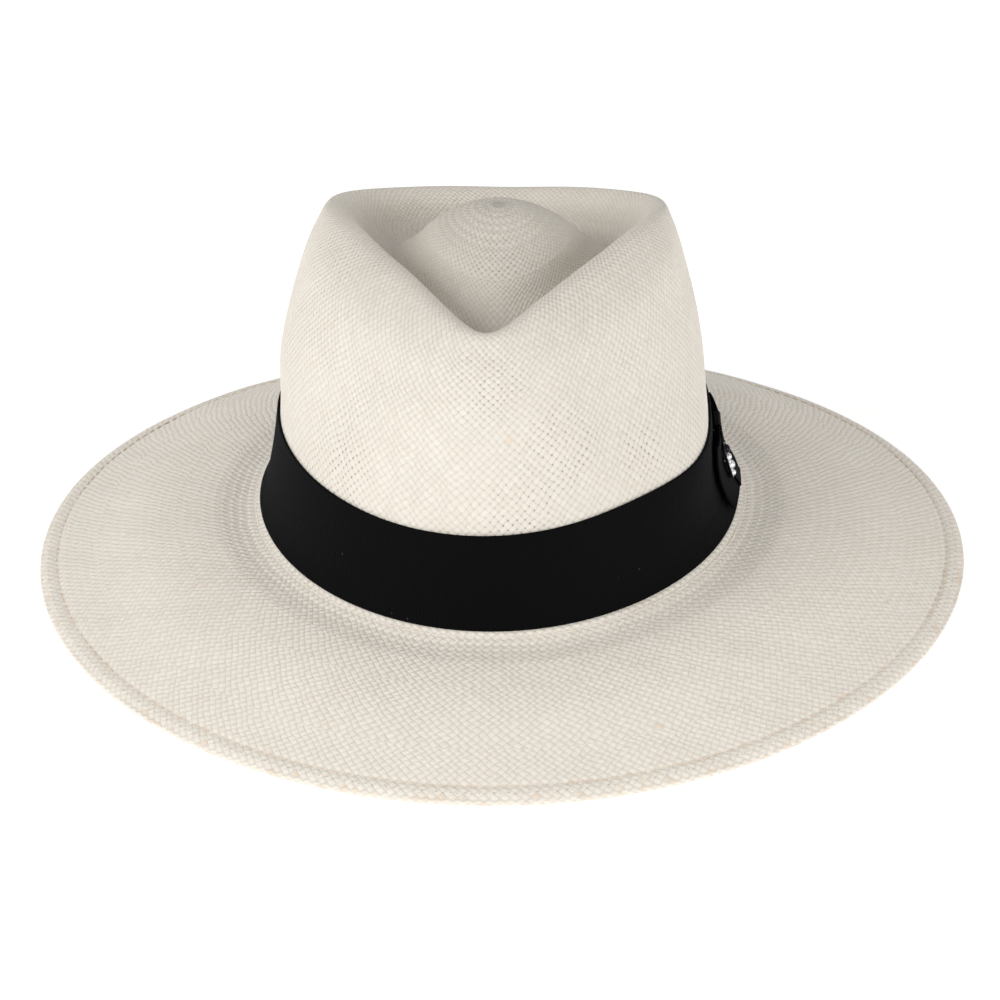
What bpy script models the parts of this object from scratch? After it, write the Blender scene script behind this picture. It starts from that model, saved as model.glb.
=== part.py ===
"""Panama hat: a teardrop crown and a wide brim woven in one piece of toquilla straw.

The hat lies brim down on the plane z = 0. Its front points to -Y, its bow side to +X.
All driving dimensions are in millimetres; the meshes are written in metres.
"""

import math

import bmesh
import bpy
import numpy as np
from mathutils import Matrix, Vector

MM = 0.001

# Each ring is one closed curve on the outside of the straw, from the brim edge to the crown's centre:
# half width, length to the front, length to the back, taper to the front, the heights at the
# sides, at the front and at the back, and how far its middle lies behind the brim's middle and to
# the +X side of it.
RINGS = {
    "brim_edge": (169.4, 182.4, 182.4, 0.052, 2.0, 2.0, 2.0, 0.0, 0.0),
    "brim_outer": (152.0, 166.0, 166.0, 0.050, 8.2, 8.2, 8.2, 0.0, 0.0),
    "brim_middle": (128.0, 144.0, 144.0, 0.045, 16.5, 16.0, 16.5, 0.0, 0.0),
    "brim_inner": (105.2, 124.5, 124.0, 0.035, 21.6, 20.3, 21.6, 0.0, 0.0),
    "brim_break": (91.6, 112.6, 110.5, 0.030, 23.5, 22.2, 23.5, 0.0, 0.0),
    "wall_foot": (87.1, 109.2, 106.8, 0.028, 25.7, 24.4, 25.7, 0.0, -0.4),
    "wall_base": (84.1, 108.0, 105.9, 0.029, 29.8, 28.6, 29.8, 0.0, -1.0),
    "wall_low": (80.6, 106.8, 104.5, 0.030, 39.0, 38.0, 39.0, 0.0, -2.2),
    "band_top": (77.1, 104.0, 100.0, 0.040, 60.0, 57.4, 59.6, 0.0, -2.5),
    "wall_middle": (75.4, 97.0, 96.0, 0.060, 84.0, 81.0, 83.5, 0.0, -2.85),
    "wall_upper": (69.8, 88.5, 89.0, 0.130, 107.0, 101.0, 104.0, 0.0, -2.7),
    "shoulder": (62.3, 80.0, 78.5, 0.280, 123.5, 113.0, 113.5, 0.0, -2.2),
    "rim": (53.5, 73.5, 69.5, 0.560, 129.5, 119.0, 117.5, 0.0, -1.8),
    "lip": (47.4, 67.5, 63.5, 0.630, 128.0, 116.5, 115.0, 0.0, -1.3),
    "inner_wall": (43.2, 61.5, 58.0, 0.600, 119.0, 107.5, 108.0, 0.5, -0.7),
    "moat": (38.5, 52.5, 51.0, 0.480, 112.5, 104.5, 105.5, 1.5, 0.0),
    "dome_foot": (33.0, 41.5, 39.5, 0.300, 116.5, 111.5, 112.0, 3.5, 0.0),
    "dome_side": (22.0, 27.5, 23.5, 0.100, 128.0, 124.0, 126.0, 6.0, 0.0),
    "dome_top": (9.5, 11.0, 10.0, 0.000, 133.5, 132.8, 133.2, 7.5, 0.0),
    "centre": (0.0, 0.0, 0.0, 0.000, 134.5, 134.5, 134.5, 8.0, 0.0),
}
RING_SAMPLES = 721

DENT_DEPTH = 3.0           # the two finger pinches beside the front crease
DENT_ANGLE = 0.74
DENT_WIDTH = 0.26
DENT_HEIGHT = 20.0
CORNER_FULLNESS = 5.0       # the crown's fuller corner between its front and the bow
CORNER_ANGLE = 1.12
CORNER_WIDTH = 0.31
CORNER_HEIGHT = 20.6

STRAW = 1.2                # thickness of the woven straw
HEM = 2.4                  # thickness of the turned-under edge
HEM_WIDTH = 7.0
EDGE_BULGE = 0.6
EDGE_MIDDLE_Z = 1.1
REST_RING = 2.6            # width of the flat ring that the hat rests on
GAP = 0.3                  # clearance between neighbouring pieces

COLUMNS = 60
ROW_PITCH = 7.0            # largest distance between the crown's rows

BAND_BOTTOM = 0.3          # above the wall's foot
BAND_TOP = 0.9            # above the band_top ring
BAND = 0.8
BAND_OUTSIDE = GAP + BAND

RIBBON = 0.4               # thickness of the bow's ribbon
BOW_AT = 0.2557            # fraction of the way round from the front to the bow's centre
BOW_HALF_HEIGHT = 13.2
BOW_RISE = -2.2             # the bow's middle line above the band's
WRAP_HALF_WIDTH = 6.0
PATH_STEP = 4.2            # between points along a folded ribbon
RIBBON_ROWS = 5            # rows of points across it
TAIL_END = 34.0
TAIL_START = -6.6
TAIL_NOTCH = 6.0

PIN_ARC = -10.3            # from the bow's centre, towards the front
PIN_HEIGHT = -1.8           # above the band's middle line
PIN_LENGTH = 14.4
PIN_WIDTH = 5.6
PIN_PLATE = 0.9
PIN_STUDS = ((4.8, 1.9), (1.3, 1.5), (-2.1, 1.9), (-5.5, 1.3))
POST_RADIUS = 0.5
CLUTCH_RADIUS = 2.8
CLUTCH = 1.0
HOLE_RADIUS = POST_RADIUS + GAP

SWEATBAND_RISE = 2.6       # the sweatband's lower edge above the wall's foot
SWEATBAND_HEIGHT = 30.0
LEATHER = 1.0
SWEATBAND_OUTSIDE = -(STRAW + GAP)
SWEATBAND_INSIDE = SWEATBAND_OUTSIDE - LEATHER
REED_RADIUS = 0.65
TAPE_INSIDE_RADIUS = REED_RADIUS + GAP
TAPE_OUTSIDE_RADIUS = TAPE_INSIDE_RADIUS + 0.4
TAPE_OPENING = math.radians(70.0)
THREAD_RADIUS = 0.25
SEAM_TAPE = 0.35
SEAM_HALF_WIDTH = 7.0
LABEL_AT = 0.56
LABEL_HALF_WIDTH = 13.0

STRAW_COLOUR = (0.80, 0.74, 0.65)
RIBBON_COLOUR = (0.010, 0.010, 0.012)
THREAD_COLOUR = (0.78, 0.70, 0.58)
LEATHER_COLOUR = (0.055, 0.042, 0.034)
TAPE_COLOUR = (0.030, 0.027, 0.026)
REED_COLOUR = (0.62, 0.60, 0.54)
METAL_COLOUR = (0.72, 0.72, 0.74)
LABEL_COLOUR = (0.62, 0.59, 0.53)


# ---------------------------------------------------------------- the straw's outer surface

RING_TABLE = np.array(list(RINGS.values()))


def ring_stations():
    """Mean distance of each ring from the brim edge, along the surface."""
    width, front, back, _, side_z, front_z, back_z, _, _ = RING_TABLE.T
    steps = [np.hypot(np.diff(reach), np.diff(height))
             for reach, height in ((width, side_z), (front, front_z), (back, back_z))]
    return np.concatenate([[0.0], np.cumsum(np.mean(steps, axis=0))])


STATIONS = ring_stations()
STATION = dict(zip(RINGS, STATIONS))


def ring_slopes():
    """Slope of every ring value along the surface, from the parabola through three rings."""
    gaps = np.diff(STATIONS)[:, None]
    steps = np.diff(RING_TABLE, axis=0) / gaps
    inner = (steps[1:] * gaps[:-1] + steps[:-1] * gaps[1:]) / (gaps[1:] + gaps[:-1])
    return np.concatenate([steps[:1], inner, steps[-1:]])


RING_SLOPES = ring_slopes()


def ring_values(station):
    """The ring's values at any station, by a cubic through the table."""
    index = int(np.clip(np.searchsorted(STATIONS, station, side="right") - 1, 0, len(STATIONS) - 2))
    gap = STATIONS[index + 1] - STATIONS[index]
    t = (station - STATIONS[index]) / gap
    start, end = RING_TABLE[index], RING_TABLE[index + 1]
    rise, fall = RING_SLOPES[index] * gap, RING_SLOPES[index + 1] * gap
    return ((2 * t**3 - 3 * t**2 + 1) * start + (t**3 - 2 * t**2 + t) * rise
            + (3 * t**2 - 2 * t**3) * end + (t**3 - t**2) * fall)


def smooth(value):
    value = np.clip(value, 0.0, 1.0)
    return value * value * (3.0 - 2.0 * value)


def ring_curve(station):
    """Points around one ring, from the front through +X to the back and round again."""
    width, front, back, taper, side_z, front_z, back_z, middle, aside = ring_values(station)
    angle = np.linspace(0.0, 2.0 * math.pi, RING_SAMPLES)
    sine, cosine = np.sin(angle), np.cos(angle)
    ahead, behind = np.maximum(cosine, 0.0), np.maximum(-cosine, 0.0)
    x = aside + width * sine * (1.0 - taper * cosine)
    y = middle + back * behind - front * ahead
    z = side_z + (front_z - side_z) * ahead**2 + (back_z - side_z) * behind**2
    beside = (np.abs(angle - math.pi) - (math.pi - DENT_ANGLE)) / DENT_WIDTH
    above = (station - 0.5 * (STATION["wall_middle"] + STATION["wall_upper"])) / DENT_HEIGHT
    dent = DENT_DEPTH * np.exp(-beside**2 - above**2)
    beside = (angle - CORNER_ANGLE) / CORNER_WIDTH
    above = (station - STATION["band_top"]) / CORNER_HEIGHT
    out = CORNER_FULLNESS * np.exp(-beside**2 - above**2) - dent
    return np.stack([x + out * sine, y - out * cosine, z], axis=-1)


def surface(fractions, station):
    """Points at equal shares of one ring's length, in millimetres."""
    curve = ring_curve(station)
    lengths = np.concatenate([[0.0], np.cumsum(np.linalg.norm(np.diff(curve, axis=0), axis=1))])
    if lengths[-1] < 1e-6:
        return np.repeat(curve[:1], len(fractions), axis=0)
    share = np.mod(fractions, 1.0) * lengths[-1]
    return np.stack([np.interp(share, lengths, curve[:, axis]) for axis in range(3)], axis=-1)


def unit(vectors):
    return vectors / np.linalg.norm(vectors, axis=-1, keepdims=True)


def frames(fractions, station):
    """Surface points with their outward normals and the direction towards the crown's centre."""
    station = float(np.clip(station, 0.0, STATIONS[-1] - 0.5))
    around = surface(fractions + 0.003, station) - surface(fractions - 0.003, station)
    low, high = max(station - 0.4, 0.0), min(station + 0.4, STATIONS[-1])
    inward = unit(surface(fractions, high) - surface(fractions, low))
    normal = unit(np.cross(around, inward))
    return surface(fractions, station), normal, inward


def lifted(fractions, station, lift):
    """Points at a distance outside the straw's outer surface, or inside it where lift is negative."""
    point, normal, _ = frames(fractions, station)
    return point + normal * lift


# ---------------------------------------------------------------- mesh building

def material(name, colour, roughness, metallic=0.0):
    made = bpy.data.materials.new(name)
    made.use_nodes = True
    shader = made.node_tree.nodes["Principled BSDF"]
    shader.inputs["Base Color"].default_value = (*colour, 1.0)
    shader.inputs["Roughness"].default_value = roughness
    shader.inputs["Metallic"].default_value = metallic
    made.diffuse_color = (*colour, 1.0)
    return made


def finish(name, mesh_builder, made_material):
    """Turns a bmesh in millimetres into a named object with its faces pointing out."""
    bmesh.ops.recalc_face_normals(mesh_builder, faces=mesh_builder.faces)
    if mesh_builder.calc_volume(signed=True) < 0.0:
        bmesh.ops.reverse_faces(mesh_builder, faces=mesh_builder.faces)
    bmesh.ops.scale(mesh_builder, vec=(MM, MM, MM), verts=mesh_builder.verts)
    mesh = bpy.data.meshes.new(name)
    mesh_builder.to_mesh(mesh)
    mesh_builder.free()
    mesh.materials.append(made_material)
    mesh.shade_smooth()
    mesh.set_sharp_from_angle(angle=math.radians(35.0))
    made = bpy.data.objects.new(name, mesh)
    bpy.context.scene.collection.objects.link(made)
    return made


def bridge(mesh_builder, first, second, closed):
    """Faces between two equally long rows of vertices."""
    count = len(first)
    for index in range(count if closed else count - 1):
        following = (index + 1) % count
        corners = (first[index], first[following], second[following], second[index])
        mesh_builder.faces.new(corners)


def swept_ring(name, profile_rows, made_material):
    """A closed band: each row is one line right around the hat, and the last row meets the first."""
    builder = bmesh.new()
    rows = [[builder.verts.new(point) for point in row] for row in profile_rows]
    for index, row in enumerate(rows):
        bridge(builder, row, rows[(index + 1) % len(rows)], closed=True)
    return finish(name, builder, made_material)


def slab(name, outside, inside, made_material):
    """A thin patch between two grids of points that have the same number of rows and columns."""
    builder = bmesh.new()
    top = [[builder.verts.new(point) for point in row] for row in outside]
    bottom = [[builder.verts.new(point) for point in row] for row in inside]
    for grid in (top, bottom):
        for first, second in zip(grid, grid[1:]):
            bridge(builder, first, second, closed=False)
    bridge(builder, top[0], bottom[0], closed=False)
    bridge(builder, top[-1], bottom[-1], closed=False)
    for side in (0, -1):
        bridge(builder, [row[side] for row in top], [row[side] for row in bottom], closed=False)
    return finish(name, builder, made_material)


AROUND = np.arange(COLUMNS) / COLUMNS


def ring_band(name, low, high, outside, inside, rows, made_material):
    """A ribbon round the hat between two stations and two lifts."""
    stations = np.linspace(low, high, rows)
    face = [lifted(AROUND, station, outside) for station in stations]
    back = [lifted(AROUND, station, inside) for station in stations[::-1]]
    return swept_ring(name, face + back, made_material)


def ring_tube(name, station, lift, radius, sides, made_material):
    """A round cord that runs right round the hat."""
    point, normal, inward = frames(AROUND, station)
    rows = []
    for side in range(sides):
        angle = 2.0 * math.pi * side / sides
        rows.append(point + normal * (lift + radius * math.cos(angle)) + inward * radius * math.sin(angle))
    return swept_ring(name, rows, made_material)


# ---------------------------------------------------------------- the woven straw

def body_stations():
    """Stations of the straw's rows: every ring, and more between those of the crown."""
    rows = [STATION["brim_edge"], HEM_WIDTH]
    names = list(RINGS)
    for name, following in zip(names[1:-1], names[2:]):
        start, end = STATION[name], STATION[following]
        in_crown = start >= STATION["wall_foot"] and following != "centre"
        steps = math.ceil((end - start) / ROW_PITCH) if in_crown else 1
        rows += list(np.linspace(start, end, steps, endpoint=False))
    return rows


def hem_rows():
    """The rounded edge and the flat ring under it that the hat rests on."""
    edge, _, inward = frames(AROUND, STATION["brim_edge"])
    outward = unit(-inward * np.array([1.0, 1.0, 0.0]))
    level = edge * np.array([1.0, 1.0, 0.0])
    up = np.array([0.0, 0.0, 1.0])
    return [level + outward * EDGE_BULGE + up * EDGE_MIDDLE_Z,
            level + outward * 0.1,
            level + outward * (0.1 - REST_RING)]


def make_straw_body(made_material):
    stations = body_stations()
    outer = [lifted(AROUND, station, 0.0) for station in reversed(stations)]
    inner = [lifted(AROUND, HEM_WIDTH, -HEM), lifted(AROUND, HEM_WIDTH + 1.2, -STRAW)]
    inner += [lifted(AROUND, station, -STRAW) for station in stations[2:]]
    builder = bmesh.new()
    rows = [[builder.verts.new(point) for point in row] for row in outer + hem_rows() + inner]
    for first, second in zip(rows, rows[1:]):
        bridge(builder, first, second, closed=True)
    peak, middle = RINGS["centre"][4], RINGS["centre"][7]
    for row, height in ((rows[0], peak), (rows[-1], peak - STRAW)):
        pole = builder.verts.new((0.0, middle, height))
        for index, vertex in enumerate(row):
            builder.faces.new((vertex, row[(index + 1) % COLUMNS], pole))
    return finish("straw_body", builder, made_material)


def make_hem_threads(made_material):
    """The needle thread above the hem and the bobbin thread below it."""
    ring_tube("hem_thread", HEM_WIDTH - 1.2, GAP + THREAD_RADIUS, THREAD_RADIUS, 4, made_material)
    under = -(HEM + GAP + 2.0 * THREAD_RADIUS)
    ring_tube("hem_bobbin_thread", HEM_WIDTH - 1.2, under, THREAD_RADIUS, 4, made_material)


# ---------------------------------------------------------------- band and bow

BAND_LOW = STATION["wall_foot"] + BAND_BOTTOM
BAND_HIGH = STATION["band_top"] + BAND_TOP
BAND_MIDDLE = 0.5 * (BAND_LOW + BAND_HIGH)


def ring_length(station):
    return float(np.linalg.norm(np.diff(ring_curve(station), axis=0), axis=1).sum())


BAND_LENGTH = ring_length(BAND_MIDDLE)


def on_band(arc, height, lift):
    """A point at an arc from the bow's centre, a height on the band and a distance off the straw."""
    fraction = np.array([BOW_AT + arc / BAND_LENGTH])
    return lifted(fraction, BAND_MIDDLE + height, lift)[0]


def stretch(points):
    """A run of ribbon through the given points, with a point about every PATH_STEP."""
    along, lift = np.array(points).T
    count = max(2, round(abs(along[-1] - along[0]) / PATH_STEP) + 1)
    where = np.linspace(along[0], along[-1], count)
    order = np.argsort(along)
    return list(zip(where, np.interp(where, along[order], lift[order])))


def bow_loop_path():
    """The bow's ribbon seen from above, as (arc, lift): the outer layer, then the inner one."""
    outer = [(-22.6, 3.25), (-19.0, 3.45), (-14.0, 3.45), (-8.0, 3.4), (0.0, 3.4), (8.0, 3.4),
             (14.0, 3.1), (19.0, 2.9), (22.6, 2.75)]
    rear_fold = [(23.8, 2.65), (24.2, 2.42), (23.8, 2.2)]
    inner = [(22.6, 2.1), (19.0, 2.15), (14.0, 2.35), (8.0, 2.75), (0.0, 2.8), (-8.0, 2.8),
             (-14.0, 2.8), (-19.0, 2.65), (-22.6, 2.35)]
    front_fold = [(-23.8, 2.5), (-24.2, 2.8), (-23.8, 3.1)]
    return stretch(outer) + rear_fold + stretch(inner) + front_fold


def path_sides(path):
    """Unit normals of a closed path in its own plane, pointing to its right."""
    points = np.array(path)
    along = unit(np.roll(points, -1, axis=0) - np.roll(points, 1, axis=0))
    return np.stack([along[:, 1], -along[:, 0]], axis=-1)


def closed_ribbon(name, path, place, reach, made_material):
    """A closed loop of ribbon: its path is drawn in a plane and swept across by place()."""
    sides = path_sides(path)
    builder = bmesh.new()
    edges = []
    for side, start in ((0.5, -reach), (-0.5, reach)):
        for across in np.linspace(start, -start, RIBBON_ROWS):
            row = [builder.verts.new(place(*(np.array(point) + normal * side * RIBBON), across))
                   for point, normal in zip(path, sides)]
            edges.append(row)
    for first, second in zip(edges, edges[1:] + edges[:1]):
        bridge(builder, first, second, closed=True)
    return finish(name, builder, made_material)


def make_bow_loops(made_material, hole):
    def place(arc, lift, height):
        return on_band(arc, BOW_RISE + height, lift)

    loops = closed_ribbon("bow_loops", bow_loop_path(), place, BOW_HALF_HEIGHT, made_material)
    pierce(loops, hole)
    return loops


def bow_wrap_path():
    """The wrap seen from its end, as (height, lift), round the loops and the tail."""
    reach = BOW_HALF_HEIGHT + GAP + 0.5 * RIBBON
    corner = reach - 0.7
    front = [(height, 4.0) for height in np.linspace(-corner, corner, 5)]
    back = [(height, 1.55) for height in np.linspace(corner, -corner, 5)]
    upper_side = [(reach, lift) for lift in (3.6, 2.75, 1.9)]
    lower_side = [(-reach, lift) for lift in (1.9, 2.75, 3.6)]
    return front + upper_side + back + lower_side


def make_bow_wrap(made_material):
    def place(height, lift, arc):
        return on_band(arc, BOW_RISE + height, lift)

    return closed_ribbon("bow_wrap", bow_wrap_path(), place, WRAP_HALF_WIDTH, made_material)


def tail_lift(arc):
    """The tail lies on the wrap's back layer at the bow's centre and on the band beyond it."""
    centre, beyond = 2.25, 1.6
    return beyond + (centre - beyond) * (1.0 - smooth((abs(arc) - WRAP_HALF_WIDTH - 2.0) / 10.0))


def make_bow_tail(made_material):
    """The ribbon's tail under the rear loop, with a swallow-tail notch."""
    heights = np.linspace(-BOW_HALF_HEIGHT, BOW_HALF_HEIGHT, 9)
    outside, inside = [], []
    for height in heights:
        end = TAIL_END - TAIL_NOTCH * (1.0 - abs(height) / BOW_HALF_HEIGHT)
        arcs = np.linspace(TAIL_START, end, 14)
        rise = BOW_RISE + height
        outside.append([on_band(arc, rise, tail_lift(arc) + 0.5 * RIBBON) for arc in arcs])
        inside.append([on_band(arc, rise, tail_lift(arc) - 0.5 * RIBBON) for arc in arcs])
    return slab("bow_tail", outside, inside, made_material)


# ---------------------------------------------------------------- the pin

def pin_frame():
    """The pin's own frame: X along the band, Y up the wall, Z outward, origin on the straw."""
    fraction = np.array([BOW_AT + PIN_ARC / BAND_LENGTH])
    point, normal, inward = (array[0] for array in frames(fraction, BAND_MIDDLE + PIN_HEIGHT))
    along = np.cross(inward, normal)
    columns = [Vector(along), Vector(inward), Vector(normal)]
    matrix = Matrix((columns[0], columns[1], columns[2])).transposed().to_4x4()
    return Matrix.Translation(Vector(point) * MM) @ matrix


def disc(builder, radius, low, high, segments, offset=0.0):
    """A short cylinder along the pin's Z, in millimetres."""
    place = Matrix.Translation((0.0, offset, 0.5 * (low + high)))
    bmesh.ops.create_cone(builder, cap_ends=True, segments=segments, radius1=radius, radius2=radius,
                          depth=high - low, matrix=place)


def pin_piece(name, builder, made_material):
    made = finish(name, builder, made_material)
    made.matrix_world = pin_frame()
    return made


def cutter(name, radius, low, high):
    """A guide cylinder that makes a hole, left out of the model."""
    builder = bmesh.new()
    disc(builder, radius, low, high, 16)
    made = pin_piece(name, builder, bpy.data.materials["steel"])
    made.hide_render = True
    made.display_type = "WIRE"
    return made


def pierce(target, tool):
    hole = target.modifiers.new("hole", "BOOLEAN")
    hole.operation = "DIFFERENCE"
    hole.object = tool
    hole.solver = "EXACT"


BADGE_BACK = 4.6           # the plate's back, clear of the bow where it flares out at the plate's ends


def make_pin_badge(made_material):
    """A plain silver bar with three rounded studs."""
    builder = bmesh.new()
    half_length, half_width = 0.5 * PIN_LENGTH, 0.5 * PIN_WIDTH
    outline = []
    for centre, start in ((half_length - half_width, 0.0), (half_width - half_length, math.pi)):
        for step in range(9):
            angle = start + math.pi * step / 8.0
            outline.append((half_width * math.cos(angle), centre + half_width * math.sin(angle)))
    back = [builder.verts.new((x, y, BADGE_BACK)) for x, y in outline]
    front = [builder.verts.new((x, y, BADGE_BACK + PIN_PLATE)) for x, y in outline]
    builder.faces.new(back[::-1])
    builder.faces.new(front)
    bridge(builder, back, front, closed=True)
    badge = pin_piece("pin_badge", builder, made_material)
    for index, (offset, radius) in enumerate(PIN_STUDS):
        stud = bmesh.new()
        bmesh.ops.create_icosphere(stud, subdivisions=2, radius=radius,
                                   matrix=Matrix.Translation((0.0, offset, BADGE_BACK + PIN_PLATE)))
        bmesh.ops.bisect_plane(stud, geom=stud.verts[:] + stud.edges[:] + stud.faces[:],
                               plane_co=(0.0, 0.0, BADGE_BACK + 0.4 * PIN_PLATE),
                               plane_no=(0.0, 0.0, 1.0), clear_inner=True)
        bmesh.ops.holes_fill(stud, edges=stud.edges, sides=0)
        guide = pin_piece(f"stud_guide_{index}", stud, made_material)
        guide.hide_render = True
        guide.display_type = "WIRE"
        join = badge.modifiers.new(f"stud_{index}", "BOOLEAN")
        join.operation = "UNION"
        join.object = guide
        join.solver = "EXACT"
    return badge


def make_pin(made_material, steel, hole):
    make_pin_badge(made_material)
    post = bmesh.new()
    disc(post, POST_RADIUS, BAND_OUTSIDE + 0.4, BADGE_BACK - 0.05, 12)
    pin_piece("pin_post", post, steel)
    clutch = bmesh.new()
    disc(clutch, CLUTCH_RADIUS, BAND_OUTSIDE + GAP, BAND_OUTSIDE + GAP + CLUTCH, 20)
    pierce(pin_piece("pin_clutch", clutch, steel), hole)


# ---------------------------------------------------------------- inside the crown

SWEATBAND_LOW = STATION["wall_foot"] + SWEATBAND_RISE
SWEATBAND_HIGH = SWEATBAND_LOW + SWEATBAND_HEIGHT


def make_sweatband(leather, thread):
    ring_band("sweatband", SWEATBAND_LOW, SWEATBAND_HIGH, SWEATBAND_OUTSIDE, SWEATBAND_INSIDE, 6, leather)
    lift = SWEATBAND_INSIDE - GAP - THREAD_RADIUS
    ring_tube("sweatband_thread", SWEATBAND_LOW + 2.0, lift, THREAD_RADIUS, 4, thread)


REED_STATION = SWEATBAND_LOW - GAP - TAPE_OUTSIDE_RADIUS
REED_LIFT = -(STRAW + GAP + TAPE_OUTSIDE_RADIUS)


def make_reed_tape(made_material):
    """The tape that wraps the reed, open at the top where the sweatband's edge sits."""
    point, normal, inward = frames(AROUND, REED_STATION)
    start = 0.5 * math.pi + 0.5 * TAPE_OPENING
    angles = start + np.linspace(0.0, 2.0 * math.pi - TAPE_OPENING, 6)
    rows = []
    for radius, sequence in ((TAPE_OUTSIDE_RADIUS, angles), (TAPE_INSIDE_RADIUS, angles[::-1])):
        for angle in sequence:
            across = normal * (REED_LIFT + radius * math.cos(angle))
            rows.append(point + across + inward * radius * math.sin(angle))
    return swept_ring("reed_tape", rows, made_material)


def inside_patch(name, centre, half_width, low, high, thickness, made_material):
    """A flat patch on the inside of the sweatband."""
    fractions = centre + np.linspace(-half_width, half_width, 7) / BAND_LENGTH
    outside = SWEATBAND_INSIDE - GAP
    stations = SWEATBAND_LOW + np.linspace(low, high, 4)
    near = [lifted(fractions, station, outside) for station in stations]
    far = [lifted(fractions, station, outside - thickness) for station in stations]
    return slab(name, near, far, made_material)


def main():
    for old in list(bpy.data.objects):
        bpy.data.objects.remove(old, do_unlink=True)
    straw = material("straw", STRAW_COLOUR, 0.62)
    ribbon = material("ribbon", RIBBON_COLOUR, 0.72)
    thread = material("thread", THREAD_COLOUR, 0.70)
    leather = material("leather", LEATHER_COLOUR, 0.48)
    tape = material("tape", TAPE_COLOUR, 0.85)
    reed = material("reed", REED_COLOUR, 0.35)
    silver = material("silver", METAL_COLOUR, 0.18, 1.0)
    steel = material("steel", METAL_COLOUR, 0.30, 1.0)
    label = material("label", LABEL_COLOUR, 0.80)

    make_straw_body(straw)
    make_hem_threads(thread)
    ring_band("hat_band", BAND_LOW, BAND_HIGH, BAND_OUTSIDE, GAP, 7, ribbon)
    hole = cutter("pin_hole", HOLE_RADIUS, BAND_OUTSIDE + 0.1, BADGE_BACK)
    make_bow_loops(ribbon, hole)
    make_bow_tail(ribbon)
    make_bow_wrap(ribbon)
    make_pin(silver, steel, hole)
    make_sweatband(leather, thread)
    make_reed_tape(tape)
    ring_tube("sweatband_reed", REED_STATION, REED_LIFT, REED_RADIUS, 5, reed)
    inside_patch("sweatband_seam_tape", 0.5, SEAM_HALF_WIDTH, 4.0, 28.0, SEAM_TAPE, tape)
    inside_patch("size_label", LABEL_AT, LABEL_HALF_WIDTH, 9.0, 24.0, SEAM_TAPE, label)


main()
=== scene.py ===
"""Panama hat: what is seen of it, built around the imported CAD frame.

The straw's outer surface is the same table of rings as in the CAD source. The woven straw follows
a lattice of crossing strands on that surface, and the ribbon, bow and leather are lifted off it.
Lengths are in millimetres until a mesh is made, and in metres in Blender.
"""

import math

import bpy
import numpy as np
from mathutils import Matrix, Vector


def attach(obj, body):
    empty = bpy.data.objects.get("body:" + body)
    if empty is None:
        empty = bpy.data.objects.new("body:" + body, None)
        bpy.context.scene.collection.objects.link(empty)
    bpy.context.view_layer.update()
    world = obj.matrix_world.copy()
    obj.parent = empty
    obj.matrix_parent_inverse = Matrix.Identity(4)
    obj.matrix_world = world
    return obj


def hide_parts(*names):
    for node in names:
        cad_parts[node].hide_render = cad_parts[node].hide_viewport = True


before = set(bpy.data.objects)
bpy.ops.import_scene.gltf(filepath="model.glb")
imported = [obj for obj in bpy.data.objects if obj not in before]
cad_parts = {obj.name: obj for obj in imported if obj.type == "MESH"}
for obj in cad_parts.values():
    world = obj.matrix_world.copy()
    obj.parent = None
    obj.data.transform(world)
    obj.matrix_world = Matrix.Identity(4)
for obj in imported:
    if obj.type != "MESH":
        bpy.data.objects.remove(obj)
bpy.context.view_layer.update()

MM = 0.001

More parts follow.
